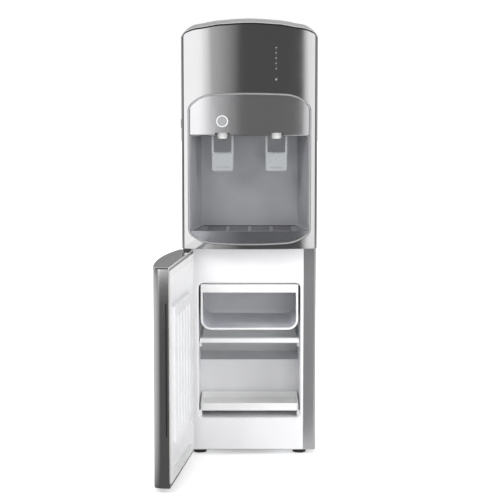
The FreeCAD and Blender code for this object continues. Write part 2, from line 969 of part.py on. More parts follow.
LAMPS = [(S.lamp_low, S.lamp_big_radius)] + [
    (S.lamp_low + S.lamp_gap + S.lamp_pitch * i, S.lamp_radius) for i in range(5)
]
LAMP_FACE = bow_y(S.lamp_side, 0)
BOARD_FRONT = LAMP_FACE + S.lamp_length


def rounded(name, block, radius, pick):
    """Rounds the edges of a finished block that pick() accepts."""
    DOCUMENT.recompute()
    amount = as_size(radius).value
    edges = [(index, amount, amount) for index, edge in enumerate(block.Shape.Edges, 1) if pick(edge)]
    if not edges:
        raise RuntimeError(name + ": no edge to round")
    soft = DOCUMENT.addObject("Part::Fillet", name)
    soft.Base = block
    soft.Edges = edges
    return soft


def on_upper_rim(edge):
    """The front edge of the upper panel, up both sides and over its top."""
    spot = edge.BoundBox
    ahead = spot.YMax < (FRONT - S.panel_stand + S.front_corner).value
    return ahead and spot.ZMax > (S.front_top - S.front_corner * 10).value and not runs_along(edge, "z")


def front_panel():
    wall = S.front_wall
    low = S.front_low
    # the arch is a hair wider than the panel, so that its ends cross the flat sides cleanly
    wide = HALF + S.arch_slip
    outline = [(-wide, low), (wide, low)] + over(arch(wide, S.front_top, FRONT_ARCH, 1))
    outer = bowed_block("front_outer", outline, low, S.cover_top, HALF, 0, S.front_corner, FRONT)
    soft = rounded("front_rounded", outer, S.front_edge, on_upper_rim)
    room = [(-wide + wall, low + wall), (wide - wall, low + wall)]
    room += over(arch(wide, S.front_top, FRONT_ARCH, 1, wall))
    inner = bowed_block("front_inner", room, low + wall, S.cover_top, HALF - wall, wall,
                        S.front_corner - wall, FRONT)
    opening = prism("front_opening", "XZ", [bezel_outline(-S.fit)], BOW_AHEAD, FRONT)
    notch = box("hinge_notch", (-HALF + wall, -HALF + S.hinge_inner + S.fit * 3),
                (HINGE_FRONT - S.fit, FRONT), (low, low + wall))
    shell = cut("front_shell", soft, [inner, opening, notch])
    posts = [rod("lamp_post", "y", LAMP_FACE + wall / 2, BOARD_FRONT, (S.lamp_side, level),
                 S.post_radius)
             for level in (LAMPS[0][0] - S.board_margin, LAMPS[-1][0] + S.board_margin)]
    holes = [rod("lamp_hole", "y", LAMP_FACE - wall, BOARD_FRONT, (S.lamp_side, level),
                 radius + S.pin_play) for level, radius in LAMPS]
    node("front_panel", cut("front_panel", fuse("front_posts", [shell] + posts), holes))


def indicators():
    lenses = [rod("lamp", "y", LAMP_FACE - S.fit, BOARD_FRONT, (S.lamp_side, level), radius)
              for level, radius in LAMPS]
    node("indicator_lenses", group("indicator_lenses", lenses))
    side = S.board_width / 2
    node("indicator_board", box("indicator_board", (S.lamp_side - side, S.lamp_side + side),
                                (BOARD_FRONT, BOARD_FRONT + S.board_thick),
                                (LAMPS[0][0] - S.board_margin * 1.5,
                                 LAMPS[-1][0] + S.board_margin * 1.5)))


def top_cover():
    wall = S.cover_wall
    base = S.side_top
    body = new_body("cover_shell")
    front = FRONT + S.fit
    back = BACK + S.panel_sheet
    outline = [(-HALF, base), (HALF, base)] + over(arch(HALF, S.cover_top, COVER_ARCH, 1))
    pad(body, "XZ", [outline], front, back)
    room = [(-HALF + wall, base), (HALF - wall, base)]
    room += over(arch(HALF, S.cover_top, COVER_ARCH, 1, wall))
    pocket(body, "XZ", [room], front + wall, back - wall)
    floor = S.well_floor
    middle = (0, S.tank_back)
    funnel = rod("well_outer", "z", floor - wall, S.cover_top - wall * 2.6, middle, S.well_rim + wall)
    hollow = rod("well_inner", "z", floor, S.cover_top + wall, middle, S.well_rim)
    hole = rod("well_mouth", "z", floor - wall * 2, floor + wall, middle, S.well_hole)
    node("top_cover", cut("top_cover", fuse("cover_and_well", [body, funnel]), [hollow, hole]))


def bottle_collar():
    body = new_body("bottle_collar")
    floor = S.well_floor + S.fit
    bore = S.neck_bore
    wall = S.cover_wall
    turn(body, [
        (bore, floor + S.collar_thick - S.neck_guide),
        (bore + wall, floor + S.collar_thick - S.neck_guide),
        (S.collar_skirt, floor),
        (S.collar_flange, floor),
        (S.collar_flange, floor + S.collar_thick),
        (bore, floor + S.collar_thick),
    ])
    place(body, 0, S.tank_back, 0)
    node("bottle_collar", body)


# ------------------------------------------------------------------ dispensing recess

def recess_bezel():
    ring = prism("bezel_ring", "XZ", [bezel_outline(0), bezel_outline(S.bezel_width)],
                 BOW_AHEAD, FRONT)
    band = prism("bezel_band", "XY", [bow_band(S.bezel_half + 1, -S.bezel_proud, S.bezel_deep)],
                 S.bezel_low - 1, S.bezel_top + 1)
    node("recess_bezel", common("recess_bezel", ring, band))


ALCOVE_HALF = S.bezel_half - S.bezel_width - S.fit
ALCOVE_FRONT = FRONT - S.alcove_front
ALCOVE_BACK = FRONT + S.alcove_depth
ALCOVE_TOP = S.housing_low - S.fit
ALCOVE_TAPER = (ALCOVE_HALF - S.alcove_back_half) / (ALCOVE_BACK - ALCOVE_FRONT)


def alcove_section(y, inset, low, top):
    """The recess in the plane at y, moved inward by inset."""
    half = ALCOVE_HALF - (y - ALCOVE_FRONT) * ALCOVE_TAPER - inset
    corner = S.alcove_corner - inset
    return [
        (half - corner, low),
        (half, low + corner, corner, "left"),
        (half, top),
        (-half, top),
        (-half, low + corner),
        (-half + corner, low, corner, "left"),
    ]


def basin_section(y, inset, low, top):
    """The foot of the recess at y, cut off flat at a top below the end of its round corners."""
    half = ALCOVE_HALF - (y - ALCOVE_FRONT) * ALCOVE_TAPER - inset
    corner = S.alcove_corner - inset
    drop = low + corner - top
    side = half - corner + root(corner * corner - drop * drop)
    # each round corner is two chords, which its grille hides
    bend = half - corner + corner * root(as_size(0.5))
    knee = low + corner - corner * root(as_size(0.5))
    return [
        (half - corner, low),
        (bend, knee),
        (side, top),
        (-side, top),
        (-bend, knee),
        (-half + corner, low),
    ]


def alcove_shell():
    body = new_body("alcove_shell")
    wall = S.alcove_wall
    low = S.alcove_low
    loft(body, "XZ", [(y, alcove_section(y, 0, low, ALCOVE_TOP)) for y in (ALCOVE_FRONT, ALCOVE_BACK)])
    inner_back = ALCOVE_BACK - wall
    loft(body, "XZ", [(y, alcove_section(y, wall, low + wall, ALCOVE_TOP - wall))
                      for y in (ALCOVE_FRONT, inner_back)], "SubtractiveLoft")
    mouth = rectangle(-ALCOVE_HALF + wall * 3, ALCOVE_FRONT, ALCOVE_HALF - wall * 3,
                      FRONT + S.housing_back + S.fit)
    pocket(body, "XY", [mouth], ALCOVE_TOP - wall, ALCOVE_TOP)
    node("alcove_shell", body)


TAPS = (("hot", -S.tap_spacing / 2), ("cold", S.tap_spacing / 2))
TAP_Y = FRONT - S.tap_back
PIVOT_Y = FRONT - S.pivot_back
HOUSING_FLOOR = S.housing_low + S.housing_wall
RECESS_TOP = S.housing_low + S.recess_rise
VALVE_LOW = RECESS_TOP + S.housing_wall
PIVOT_Z = VALVE_LOW + S.pivot_up


def on_lower_rim(edge):
    """The front edge along the bottom of the tap housing."""
    spot = edge.BoundBox
    return near(spot.ZMax, S.housing_low) and spot.YMax < (FRONT - S.panel_stand + S.housing_wall).value


def tap_housing():
    inset = S.bezel_width + S.fit
    wall = S.housing_wall
    half = S.bezel_half - inset
    low = S.housing_low
    back = FRONT + S.housing_back
    outline = [(-half, low), (half, low)]
    outline += over(arch(S.bezel_half, S.bezel_top, BEZEL_TOP, 1, inset))
    blank = bowed_block("housing_outer", outline, low, S.bezel_top, half, S.housing_inset,
                        S.housing_edge, back)
    outer = rounded("housing_rounded", blank, S.housing_round, on_lower_rim)
    room = [(-half + wall, low + wall), (half - wall, low + wall)]
    room += over(arch(S.bezel_half, S.bezel_top, BEZEL_TOP, 1, inset + wall))
    space = bowed_block("housing_inner", room, low + wall, S.bezel_top, half - wall,
                        S.housing_inset + wall, S.housing_edge / 2, back)
    recess_back = TAP_Y + S.valve_rear
    roofs = []
    tools = []
    for tap, x in TAPS:
        side = S.recess_half
        roofs.append(box("recess_roof", (x - side - wall, x + side + wall), (BOW_AHEAD, recess_back + wall),
                         (low, VALVE_LOW)))
        tools.append(box("recess", (x - side, x + side), (BOW_AHEAD, recess_back), (low - wall, RECESS_TOP)))
        tools.append(rod("spout_hole", "z", low, VALVE_LOW, (x, TAP_Y), S.spout_radius + S.fit))
        for turned in (-1, 1):
            middle = x + (S.lever_width - S.lever_arm) / 2 * turned
            gap = S.lever_arm / 2 + S.hub_gap
            tools.append(box("lever_slot", (middle - gap, middle + gap),
                             (PIVOT_Y - S.lever_thick - S.lever_swing_room / 5,
                              PIVOT_Y + S.lever_thick + S.lever_swing_room),
                             (low, HOUSING_FLOOR)))
    tools.append(rod("lock_hole", "y", BOW_AHEAD, FRONT - S.panel_stand, (-S.tap_spacing / 2, S.button_height),
                     S.button_radius + S.ring_width + S.fit * 2))
    inner = cut("housing_space", space, roofs)
    node("tap_housing", cut("tap_housing", outer, [inner] + tools))


def taps():
    spouts = []
    valves = []
    pins = []
    for tap, x in TAPS:
        spout = new_body("spout")
        drop = S.housing_low - S.spout_drop
        turn(spout, [
            (S.spout_bore, drop),
            (S.spout_radius, drop),
            (S.spout_radius, VALVE_LOW),
            (S.spout_bore, VALVE_LOW),
        ])
        place(spout, x, TAP_Y, 0)
        spouts.append(spout)
        half = S.valve_half
        block = box("valve_block", (x - half, x + half), (TAP_Y - S.valve_front, TAP_Y + S.valve_rear),
                    (VALVE_LOW, VALVE_LOW + S.valve_height))
        pin_hole = rod("pin_hole", "x", x - half, x + half, (PIVOT_Y, PIVOT_Z),
                       S.pin_radius + S.pin_play)
        water_way = rod("water_way", "z", VALVE_LOW, S.hose_level, (x, TAP_Y), S.spout_bore)
        valves.append(cut("valve", block, [pin_hole, water_way]))
        reach = S.lever_width / 2
        pins.append(rod("pin", "x", x - reach, x + reach, (PIVOT_Y, PIVOT_Z), S.pin_radius))
    node("spouts", group("spouts", spouts))
    node("tap_valves", group("tap_valves", valves))
    node("lever_pins", group("lever_pins", pins))


def levers():
    for tap, x in TAPS:
        body = new_body("lever_" + tap)
        half = S.lever_width / 2
        arm = S.lever_arm
        thick = S.lever_thick
        corner = S.lever_corner
        top = PIVOT_Z
        front = PIVOT_Y - thick / 2
        window_low = S.paddle_top
        left, right = x - half, x + half
        outline = [
            (right - corner, S.lever_bottom),
            (right, S.lever_bottom + corner, corner, "left"),
            (right, top),
            (right - arm, top),
            (right - arm, window_low + arm),
            (right - arm * 2, window_low, arm, "right"),
            (left + arm * 2, window_low),
            (left + arm, window_low + arm, arm, "right"),
            (left + arm, top),
            (left, top),
            (left, S.lever_bottom + corner),
            (left + corner, S.lever_bottom, corner, "left"),
        ]
        pad(body, "XZ", [outline], front, front + thick)
        hubs = ((left, left + half - S.valve_half - S.hub_gap),
                (right - half + S.valve_half + S.hub_gap, right))
        for low, high in hubs:
            pad(body, "YZ", [], low, high, [(PIVOT_Y, PIVOT_Z, S.hub_radius)])
        pocket(body, "YZ", [], left, right, [(PIVOT_Y, PIVOT_Z, S.pin_radius + S.pin_play)])
        groove = S.lever_bottom + S.groove_rise
        side = S.paddle_groove / 2
        pocket(body, "XZ", [rectangle(x - side, groove, x + side, groove + S.groove_height)],
               front, front + S.groove_depth)
        chamfer(body, S.paddle_chamfer, lambda edge: paddle_rim(edge, x, half))
        node("lever_" + tap, body)


def paddle_rim(edge, x, half):
    """The front outline of a paddle, below its arms."""
    spot = edge.BoundBox
    flat = near(spot.YMin, PIVOT_Y - S.lever_thick / 2) and near(spot.YMax, PIVOT_Y - S.lever_thick / 2)
    outline = near(spot.XMin, x - half) or near(spot.XMax, x + half) or near(spot.ZMin, S.lever_bottom)
    return flat and outline


def lock_button():
    x = -S.tap_spacing / 2
    face = bow_y(S.tap_spacing / 2, S.housing_inset)
    ring = S.button_radius + S.fit
    outer = rod("ring_outer", "y", face - 1.5, face - 1.5 + S.ring_depth, (x, S.button_height),
                ring + S.ring_width)
    bore = rod("ring_bore", "y", face - 3, face + S.ring_depth, (x, S.button_height), ring)
    node("lock_ring", cut("lock_ring", outer, [bore]))
    button = new_body("lock_button")
    turn(button, [
        (0, 0),
        (S.button_radius, 0),
        (S.button_radius, S.button_depth - 1.5),
        (S.button_radius - 1.5, S.button_depth),
        (0, S.button_depth),
    ])
    button.Placement = FreeCAD.Placement(Vector(), Rotation(Vector(1, 0, 0), 90))
    place(button, x, face - 2.5 + S.button_depth, S.button_height)
    node("lock_button", button)


def drip_tray():
    play = S.tray_play
    wall = S.alcove_wall + play
    low = S.alcove_low + wall
    front = ALCOVE_FRONT - S.fit
    back = ALCOVE_BACK - wall
    pan = new_body("tray_pan")
    loft(pan, "XZ", [(y, basin_section(y, wall, low, S.tray_top)) for y in (front, back)])
    inset = S.bezel_width + S.fit
    half = S.bezel_half - inset
    low_arch = arch(S.bezel_half, S.bezel_low, BEZEL_LOW, -1, inset)
    outline = under(low_arch) + [(half, S.tray_top + 20), (-half, S.tray_top + 20)]
    apron = bowed_block("tray_apron", outline, S.bezel_low - 5, S.tray_top, half, S.housing_inset,
                        S.housing_edge, front)
    deep = S.tray_wall
    inner_low = low + S.tray_floor
    hollow = new_body("tray_hollow")
    loft(hollow, "XZ", [(y, basin_section(y, wall + deep, inner_low, S.tray_top + 1))
                        for y in (front - deep, back - deep)])
    bay = bowed_block("tray_bay", rectangle(-half + deep * 3, inner_low, half - deep * 3, S.tray_top + 1),
                      inner_low, S.tray_top + 1, half - deep * 2, S.housing_inset + deep,
                      S.housing_edge, front + deep)
    basin = cut("tray_basin", fuse("tray_blank", [pan, apron]), [hollow])
    node("drip_tray", cut("drip_tray", basin, [bay]))
    grille(wall + deep + S.grille_play, half, front, back - deep - S.grille_play, inner_low)


def grille(inset, half, front, back, floor):
    top = S.tray_top - S.grille_drop
    low = top - S.grille_thick
    flat = new_body("grille_flat")
    loft(flat, "XZ", [(y, alcove_section(y, inset, floor + S.grille_play, floor + S.alcove_corner * 2))
                      for y in (front, back)])
    slab = box("grille_slab", (-half, half), (front, back), (low, top))
    rear = common("grille_rear", flat, slab)
    gap = S.tray_wall + S.grille_play
    nose = bowed_block("grille_nose", rectangle(-half + S.tray_wall * 3 + S.grille_play, low,
                                                half - S.tray_wall * 3 - S.grille_play, top),
                       low, top, half - gap * 2, S.housing_inset + gap, S.housing_edge, front)
    foot = S.slot_width / 2
    legs = [box("grille_leg", (x - foot, x + foot), (y - foot, y + foot), (floor + S.fit, low + 1))
            for x in (-S.alcove_back_half * 0.75, S.alcove_back_half * 0.75)
            for y in (front + S.slot_pitch, back - S.slot_pitch)]
    slots = []
    for row in range(9):
        y = front + S.slot_pitch * (row + 0.75)
        for column in (-1.5, -0.5, 0.5, 1.5):
            x = (S.slot_length + S.slot_bridge) * column
            slots.append(box("slot", (x - S.slot_length / 2, x + S.slot_length / 2),
                             (y, y + S.slot_width), (low - 1, top + 1)))
    node("drip_grille", cut("drip_grille", fuse("grille_blank", [rear, nose] + legs), slots))


# ------------------------------------------------------------------ refrigerator

def cavity_profile(grow, front):
    """The cabinet's inner space from the side, with the hump over the compressor bay."""
    low = S.cavity_low - grow
    high = S.cavity_high + grow
    step = FRONT + S.cavity_low_depth + grow
    hump = S.hump_top - grow
    back = FRONT + S.cavity_depth + grow
    return [(front, low), (step, low), (step, hump), (back, hump), (back, high), (front, high)]


def fridge_liner():
    body = new_body("fridge_liner")
    wall = S.liner_wall
    half = S.cavity_half
    pad(body, "YZ", [cavity_profile(wall, FRONT)], -half - wall, half + wall)
    face = rectangle(-HALF + S.flange_left + S.fit, S.liner_low, HALF - S.flange_right - S.fit,
                     S.liner_top)
    pad(body, "XZ", [face], FRONT, FRONT + wall)
    pocket(body, "YZ", [cavity_profile(0, FRONT)], -half, half)
    corner = S.cavity_corner
    fillet(body, corner, lambda edge: runs_along(edge, "y") and near(abs(edge.BoundBox.XMax), half)
           and (near(edge.BoundBox.ZMax, S.cavity_low) or near(edge.BoundBox.ZMax, S.cavity_high)))
    chamfer(body, S.mouth_round, lambda edge: near(edge.BoundBox.YMin, FRONT)
           and near(edge.BoundBox.YMax, FRONT) and abs(edge.BoundBox.XMax) < half.value + 1
           and abs(edge.BoundBox.XMin) < half.value + 1
           and edge.BoundBox.ZMin > S.cavity_low.value - 1
           and edge.BoundBox.ZMax < S.cavity_high.value + 1)
    for level, start, back in (
        (S.shelf_level - S.fit, S.shelf_front + S.trim_depth + S.fit * 2, S.cavity_depth - corner),
        (S.crisper_low - S.fit, S.freezer_front, S.cavity_low_depth - corner),
    ):
        near_end = FRONT + start
        bracket = S.bracket_height
        rail = S.ledge_height
        side_view = [
            (near_end, level - bracket),
            (near_end + rail, level - bracket),
            (near_end + rail * 2, level - rail),
            (FRONT + back, level - rail),
            (FRONT + back, level),
            (near_end, level),
        ]
        for low, high in ((-half - wall / 2, -half + S.ledge_width), (half - S.ledge_width, half + wall / 2)):
            pad(body, "YZ", [side_view], low, high)
    node("fridge_liner", body)


def fridge_foam():
    gap = S.fit
    half = PAN_HALF - S.pan_sheet - gap
    front = PAN_FRONT + S.pan_sheet + gap
    floor = S.foot_height + S.pan_sheet + gap
    back = PAN_BACK - gap
    profile = [
        (front, floor),
        (FRONT + S.bay_front, floor),
        (FRONT + S.bay_front, S.bay_top),
        (back, S.bay_top),
        (back, S.foam_top),
        (front, S.foam_top),
    ]
    body = new_body("fridge_foam")
    pad(body, "YZ", [profile], -half, half)
    room = S.liner_wall + gap
    pocket(body, "YZ", [cavity_profile(room, front - 1)], -S.cavity_half - room, S.cavity_half + room)
    fillet(body, S.panel_corner, lambda edge: runs_along(edge, "z") and near(abs(edge.BoundBox.XMax), half))
    node("fridge_foam", body)


def freezer_loop(inset):
    """The freezer box from the front: straight sides and large lower corners."""
    half = S.freezer_half - inset
    low = S.freezer_low + inset
    corner = S.freezer_corner - inset
    return half, low, corner


def freezer():
    front = FRONT + S.freezer_front
    back = FRONT + S.freezer_back
    sheet = S.freezer_sheet
    half, low, corner = freezer_loop(as_size(0))
    inner, floor, bend = freezer_loop(sheet)
    high = S.freezer_high
    body = new_body("freezer_box")
    pad(body, "XZ", [[
        (half - corner, low),
        (half, low + corner, corner, "left"),
        (half, high),
        (inner, high),
        (inner, floor + bend),
        (inner - bend, floor, bend, "right"),
        (-inner + bend, floor),
        (-inner, floor + bend, bend, "right"),
        (-inner, high),
        (-half, high),
        (-half, low + corner),
        (-half + corner, low, corner, "left"),
    ]], front, back)
    width = S.hanger_width
    flanges = [rectangle(-inner - sheet / 2, high - sheet, -inner + width, high),
               rectangle(inner - width, high - sheet, inner + sheet / 2, high)]
    pad(body, "XZ", flanges, front, back)
    spots = [((inner - width / 2) * i, y, S.hanger_radius)
             for i in (-1, 1) for y in (front + width, back - width)]
    pad(body, "XY", [], high - sheet / 2, S.cavity_high - S.fit, spots)
    node("freezer_box", body)
    rim, base, edge = freezer_loop(S.freezer_rim)
    frame = new_body("freezer_frame")
    top = high
    outer_loop = [(half - corner, low), (half, low + corner, corner, "left"), (half, top),
                  (-half, top), (-half, low + corner), (-half + corner, low, corner, "left")]
    bar = top - S.freezer_bar
    inner_loop = [(rim - edge, base), (rim, base + edge, edge, "left"), (rim, bar),
                  (-rim, bar), (-rim, base + edge), (-rim + edge, base, edge, "left")]
    pad(frame, "XZ", [outer_loop, inner_loop], front - S.freezer_rim_thick, front)
    node("freezer_frame", frame)


def glass_shelf():
    half = S.shelf_half
    level = S.shelf_level
    front = FRONT + S.shelf_front
    back = FRONT + S.shelf_back
    inset = S.fit * 2
    glass = box("shelf_glass", (-half + inset, half - inset), (front + S.trim_below, back - S.trim_below),
                (level + S.fit, level + S.fit + S.shelf_glass))
    node("shelf_glass", glass)
    low = level - S.trim_below
    high = level + S.trim_height - S.trim_below
    body = new_body("shelf_trim")
    pad(body, "XY", [rectangle(-half, front, half, front + S.trim_depth)], low, high)
    pad(body, "XY", [rectangle(-half, back - S.trim_depth / 2, half, back)], level, high - 1)
    pocket(body, "XY", [rectangle(-half + inset / 2, front + S.trim_below - inset / 2,
                                  half - inset / 2, back - S.trim_below + inset / 2)],
           level + S.fit / 2, level + S.fit * 1.5 + S.shelf_glass)
    fillet(body, 2, lambda edge: runs_along(edge, "x") and near(edge.BoundBox.YMax, front)
           and (near(edge.BoundBox.ZMax, high) or near(edge.BoundBox.ZMax, low)))
    node("shelf_trim", body)


def lower_tray():
    half = S.crisper_half
    front = FRONT + S.crisper_front
    back = FRONT + S.crisper_back
    wall = S.crisper_wall
    body = new_body("lower_tray")
    pad(body, "XY", [rectangle(-half, front, half, back, wall * 3)], S.crisper_low, S.crisper_high)
    pocket(body, "XY", [rectangle(-half + wall, front + wall, half - wall, back - wall, wall * 2)],
           S.crisper_low + wall, S.crisper_high)
    node("lower_tray", body)


# ------------------------------------------------------------------ door

DOOR_BACK = FRONT - S.door_gap


def stand_open(piece):
    """Swings a closed door piece about the hinge pins to its open angle."""
    hinge = Vector(HINGE_X.value, HINGE_Y.value, 0)
    piece.Placement = FreeCAD.Placement(Vector(), Rotation(Vector(0, 0, 1), -S.door_open_angle.value),
                                        hinge) * piece.Placement


def door():
    wall = S.door_wall
    low = S.door_low
    top = S.door_top
    corner = S.front_corner
    shell = new_body("door_shell")
    pad(shell, "XY", [plan(HALF, 0, corner, DOOR_BACK)], low, top)
    chamfer(shell, S.door_edge, lambda edge: edge.BoundBox.YMax < (FRONT - S.panel_stand).value + 6
           and edge.BoundBox.ZLength < 0.01)
    pocket(shell, "XY", [plan(HALF - wall, wall, corner - wall, DOOR_BACK)], low + wall, top - wall)
    grip_back = DOOR_BACK - S.grip_back
    grip = rectangle(HALF - S.grip_deep, grip_back - S.grip_mouth, HALF + 1, grip_back)
    cheek = S.grip_wall
    pad(shell, "XY", [rectangle(HALF - S.grip_deep - cheek, grip_back - S.grip_mouth - cheek,
                                HALF - wall / 2, grip_back + cheek)], S.grip_low - cheek,
        S.grip_high + cheek)
    pocket(shell, "XY", [grip], S.grip_low, S.grip_high)
    pocket(shell, "XY", [], low, top, [(HINGE_X, HINGE_Y, S.hinge_pin + S.bush_play * 4)])
    node("door_shell", shell)

    liner = new_body("door_liner")
    inner = HALF - wall - S.fit
    seat = DOOR_BACK - S.gasket_seat
    sheet = S.door_liner_sheet
    floor = low + wall + S.fit
    ceiling = top - wall - S.fit
    pad(liner, "XZ", [rectangle(-inner, floor, inner, ceiling, S.gasket_corner)], seat, seat + sheet)
    around_grip = rectangle(HALF - S.grip_deep - cheek - S.fit, S.grip_low - cheek - S.fit,
                            HALF, S.grip_high + cheek + S.fit)
    pocket(liner, "XZ", [around_grip], seat, seat + sheet)
    inset = S.dike_inset
    side = S.cavity_half - inset
    dike_low = S.cavity_low + inset
    dike_high = S.cavity_high - inset
    dike_face = FRONT + S.dike_proud
    pad(liner, "XZ", [rectangle(-side, dike_low, side, dike_high, S.cavity_corner)], seat, dike_face)
    hollow = rectangle(-side + sheet, dike_low + sheet, side - sheet, dike_high - sheet,
                       S.cavity_corner - sheet)
    pocket(liner, "XZ", [hollow], seat, dike_face - sheet)
    ribs = [rectangle(S.dike_rib_pitch * i - S.dike_rib / 2, dike_low + S.dike_rib * 4,
                      S.dike_rib_pitch * i + S.dike_rib / 2, dike_high - S.dike_rib * 4)
            for i in (-2, -1, 0, 1, 2)]
    pad(liner, "XZ", ribs, dike_face, dike_face + S.dike_rib_proud)
    chamfer(liner, sheet - 0.5, lambda edge: on_dike_rim(edge, side, dike_low, dike_high, dike_face))
    node("door_liner", liner)

    gasket = new_body("door_gasket")
    inset = S.gasket_inset
    width = S.gasket_width
    bend = S.gasket_corner
    outer_ring = rectangle(-HALF + inset, low + inset, HALF - inset, top - inset, bend)
    inner_ring = rectangle(-HALF + inset + width, low + inset + width, HALF - inset - width,
                           top - inset - width, bend)
    pad(gasket, "XZ", [outer_ring, inner_ring], seat + sheet, DOOR_BACK + S.gasket_proud)
    node("door_gasket", gasket)

    foam = new_body("door_foam")
    gap = S.fit
    pad(foam, "XY", [plan(HALF - wall - gap, wall + gap, corner - wall - gap, seat - gap)],
        low + wall + gap, top - wall - gap)
    pocket(foam, "XY", [], low + wall + gap, low + wall + S.bush_length + gap * 2,
           [(HINGE_X, HINGE_Y, S.bush_radius + gap)])
    pocket(foam, "XY", [], top - wall - S.bush_length - gap * 2, top - wall - gap,
           [(HINGE_X, HINGE_Y, S.bush_radius + gap)])
    node("door_foam", foam)

    bushes = []
    for start in (low + wall, top - wall - S.bush_length):
        sleeve = rod("bush", "z", start, start + S.bush_length, (HINGE_X, HINGE_Y), S.bush_radius)
        bore = rod("bush_bore", "z", start, start + S.bush_length, (HINGE_X, HINGE_Y),
                   S.hinge_pin + S.bush_play)
        bushes.append(cut("bush_sleeve", sleeve, [bore]))
    node("door_bushes", group("door_bushes", bushes))
    for piece in (shell, liner, gasket, foam, NODES[-1]):
        stand_open(piece)


def on_dike_rim(edge, side, low, high, face):
    """The outline of the door liner's raised middle, on its inner face."""
    spot = edge.BoundBox
    outer = near(-spot.XMin, side) or near(spot.XMax, side) or near(spot.ZMin, low) or near(spot.ZMax, high)
    return near(spot.YMin, face) and near(spot.YMax, face) and outer


def hinges():
    left = -HALF + S.front_wall + S.fit
    right = -HALF + S.hinge_inner
    thick = S.hinge_plate
    front = HINGE_Y - S.hinge_side
    low = S.foot_height - thick
    plate = box("lower_plate", (left, right), (front, FRONT + S.hinge_reach), (low, low + thick))
    pin_top = S.door_low + S.door_wall + S.hinge_pin_length
    pin = rod("lower_pin", "z", low, pin_top, (HINGE_X, HINGE_Y), S.hinge_pin)
    node("lower_hinge", fuse("lower_hinge", [plate, pin]))
    base = S.door_top + S.hinge_clear
    plate = box("upper_plate", (left, right), (front, FRONT), (base, base + thick))
    leg = box("upper_leg", (left, right), (FRONT - thick, FRONT), (base, base + S.hinge_leg))
    pin = rod("upper_pin", "z", S.door_top - S.door_wall - S.hinge_pin_length, base + thick,
              (HINGE_X, HINGE_Y), S.hinge_pin)
    node("upper_hinge", fuse("upper_hinge", [plate, leg, pin]))


# ------------------------------------------------------------------ tanks and hoses

def tanks():
    centre = (0, S.tank_back, 0)
    radius = S.tank_radius
    wall = S.tank_wall
    tank = new_body("cold_tank")
    band = radius + S.jacket_thick
    turn(tank, [
        (0, S.tank_low),
        (radius, S.tank_low),
        (radius, S.jacket_low),
        (band, S.jacket_low),
        (band, S.jacket_high),
        (radius, S.jacket_high),
        (radius, S.tank_high),
        (radius - wall, S.tank_high),
        (radius - wall, S.tank_low + wall),
        (0, S.tank_low + wall),
    ])
    place(tank, *centre)
    node("cold_tank", tank)
    room = band + S.fit
    outer = room + S.insulation_thick
    base = S.deck_high + S.deck_sheet
    insulation = new_body("cold_tank_insulation")
    turn(insulation, [
        (0, base),
        (outer, base),
        (outer, S.tank_high),
        (room, S.tank_high),
        (room, S.tank_low - S.fit),
        (0, S.tank_low - S.fit),
    ])
    place(insulation, *centre)
    node("cold_tank_insulation", insulation)
    lid = new_body("cold_tank_lid")
    neck = S.well_hole + S.fit * 2
    turn(lid, [
        (neck, S.tank_high),
        (outer, S.tank_high),
        (outer, S.tank_high + S.lid_thick),
        (neck + S.lid_thick, S.tank_high + S.lid_thick),
        (neck + S.lid_thick, S.well_floor - S.cover_wall - S.fit),
        (neck, S.well_floor - S.cover_wall - S.fit),
    ])
    place(lid, *centre)
    node("cold_tank_lid", lid)
    deck = S.deck_low + S.deck_sheet
    hot_top = deck + S.hot_jacket + S.hot_height
    hot_centre = (-S.hot_side, S.hot_back)
    hot = new_body("hot_tank")
    low = deck + S.hot_jacket
    hot_radius = S.hot_radius
    turn(hot, [
        (0, low),
        (hot_radius, low),
        (hot_radius, hot_top),
        (S.hose_radius, hot_top),
        (S.hose_radius, hot_top - wall),
        (hot_radius - wall, hot_top - wall),
        (hot_radius - wall, low + wall),
        (0, low + wall),
    ])
    place(hot, -S.hot_side, S.hot_back, 0)
    node("hot_tank", hot)
    block = rod("hot_block", "z", deck, hot_top + S.hot_jacket, hot_centre,
                S.hot_radius + S.hot_jacket)
    space = rod("hot_space", "z", deck + S.hot_jacket, hot_top, hot_centre, S.hot_radius)
    node("hot_tank_jacket", cut("hot_tank_jacket", block, [space]))


def hoses():
    start = TAP_Y + S.valve_rear
    radius = S.hose_radius
    cold_x = S.tap_spacing / 2
    reach = S.tank_radius + S.jacket_thick + S.fit + S.insulation_thick
    tank_y = S.tank_back - root(reach * reach - (cold_x - radius) * (cold_x - radius))
    cold = rod("hose_cold", "y", start, tank_y - S.fit, (cold_x, S.hose_level), radius)
    hot_x = -S.tap_spacing / 2
    drop_y = FRONT + S.alcove_depth + radius * 3
    shelf = S.deck_high - radius * 2
    hot_top = S.deck_low + S.deck_sheet + S.hot_jacket * 2 + S.hot_height
    hot = pipe("hose_hot", [
        (hot_x, start, S.hose_level),
        (hot_x, drop_y, S.hose_level),
        (hot_x, drop_y, shelf),
        (hot_x, S.hot_back, shelf),
        (hot_x, S.hot_back, hot_top),
    ], radius, S.hose_bend)
    node("hoses", group("hoses", [cold, hot]))


# ------------------------------------------------------------------ refrigeration

COMPRESSOR_X = -S.compressor_side
COMPRESSOR_Y = S.compressor_back


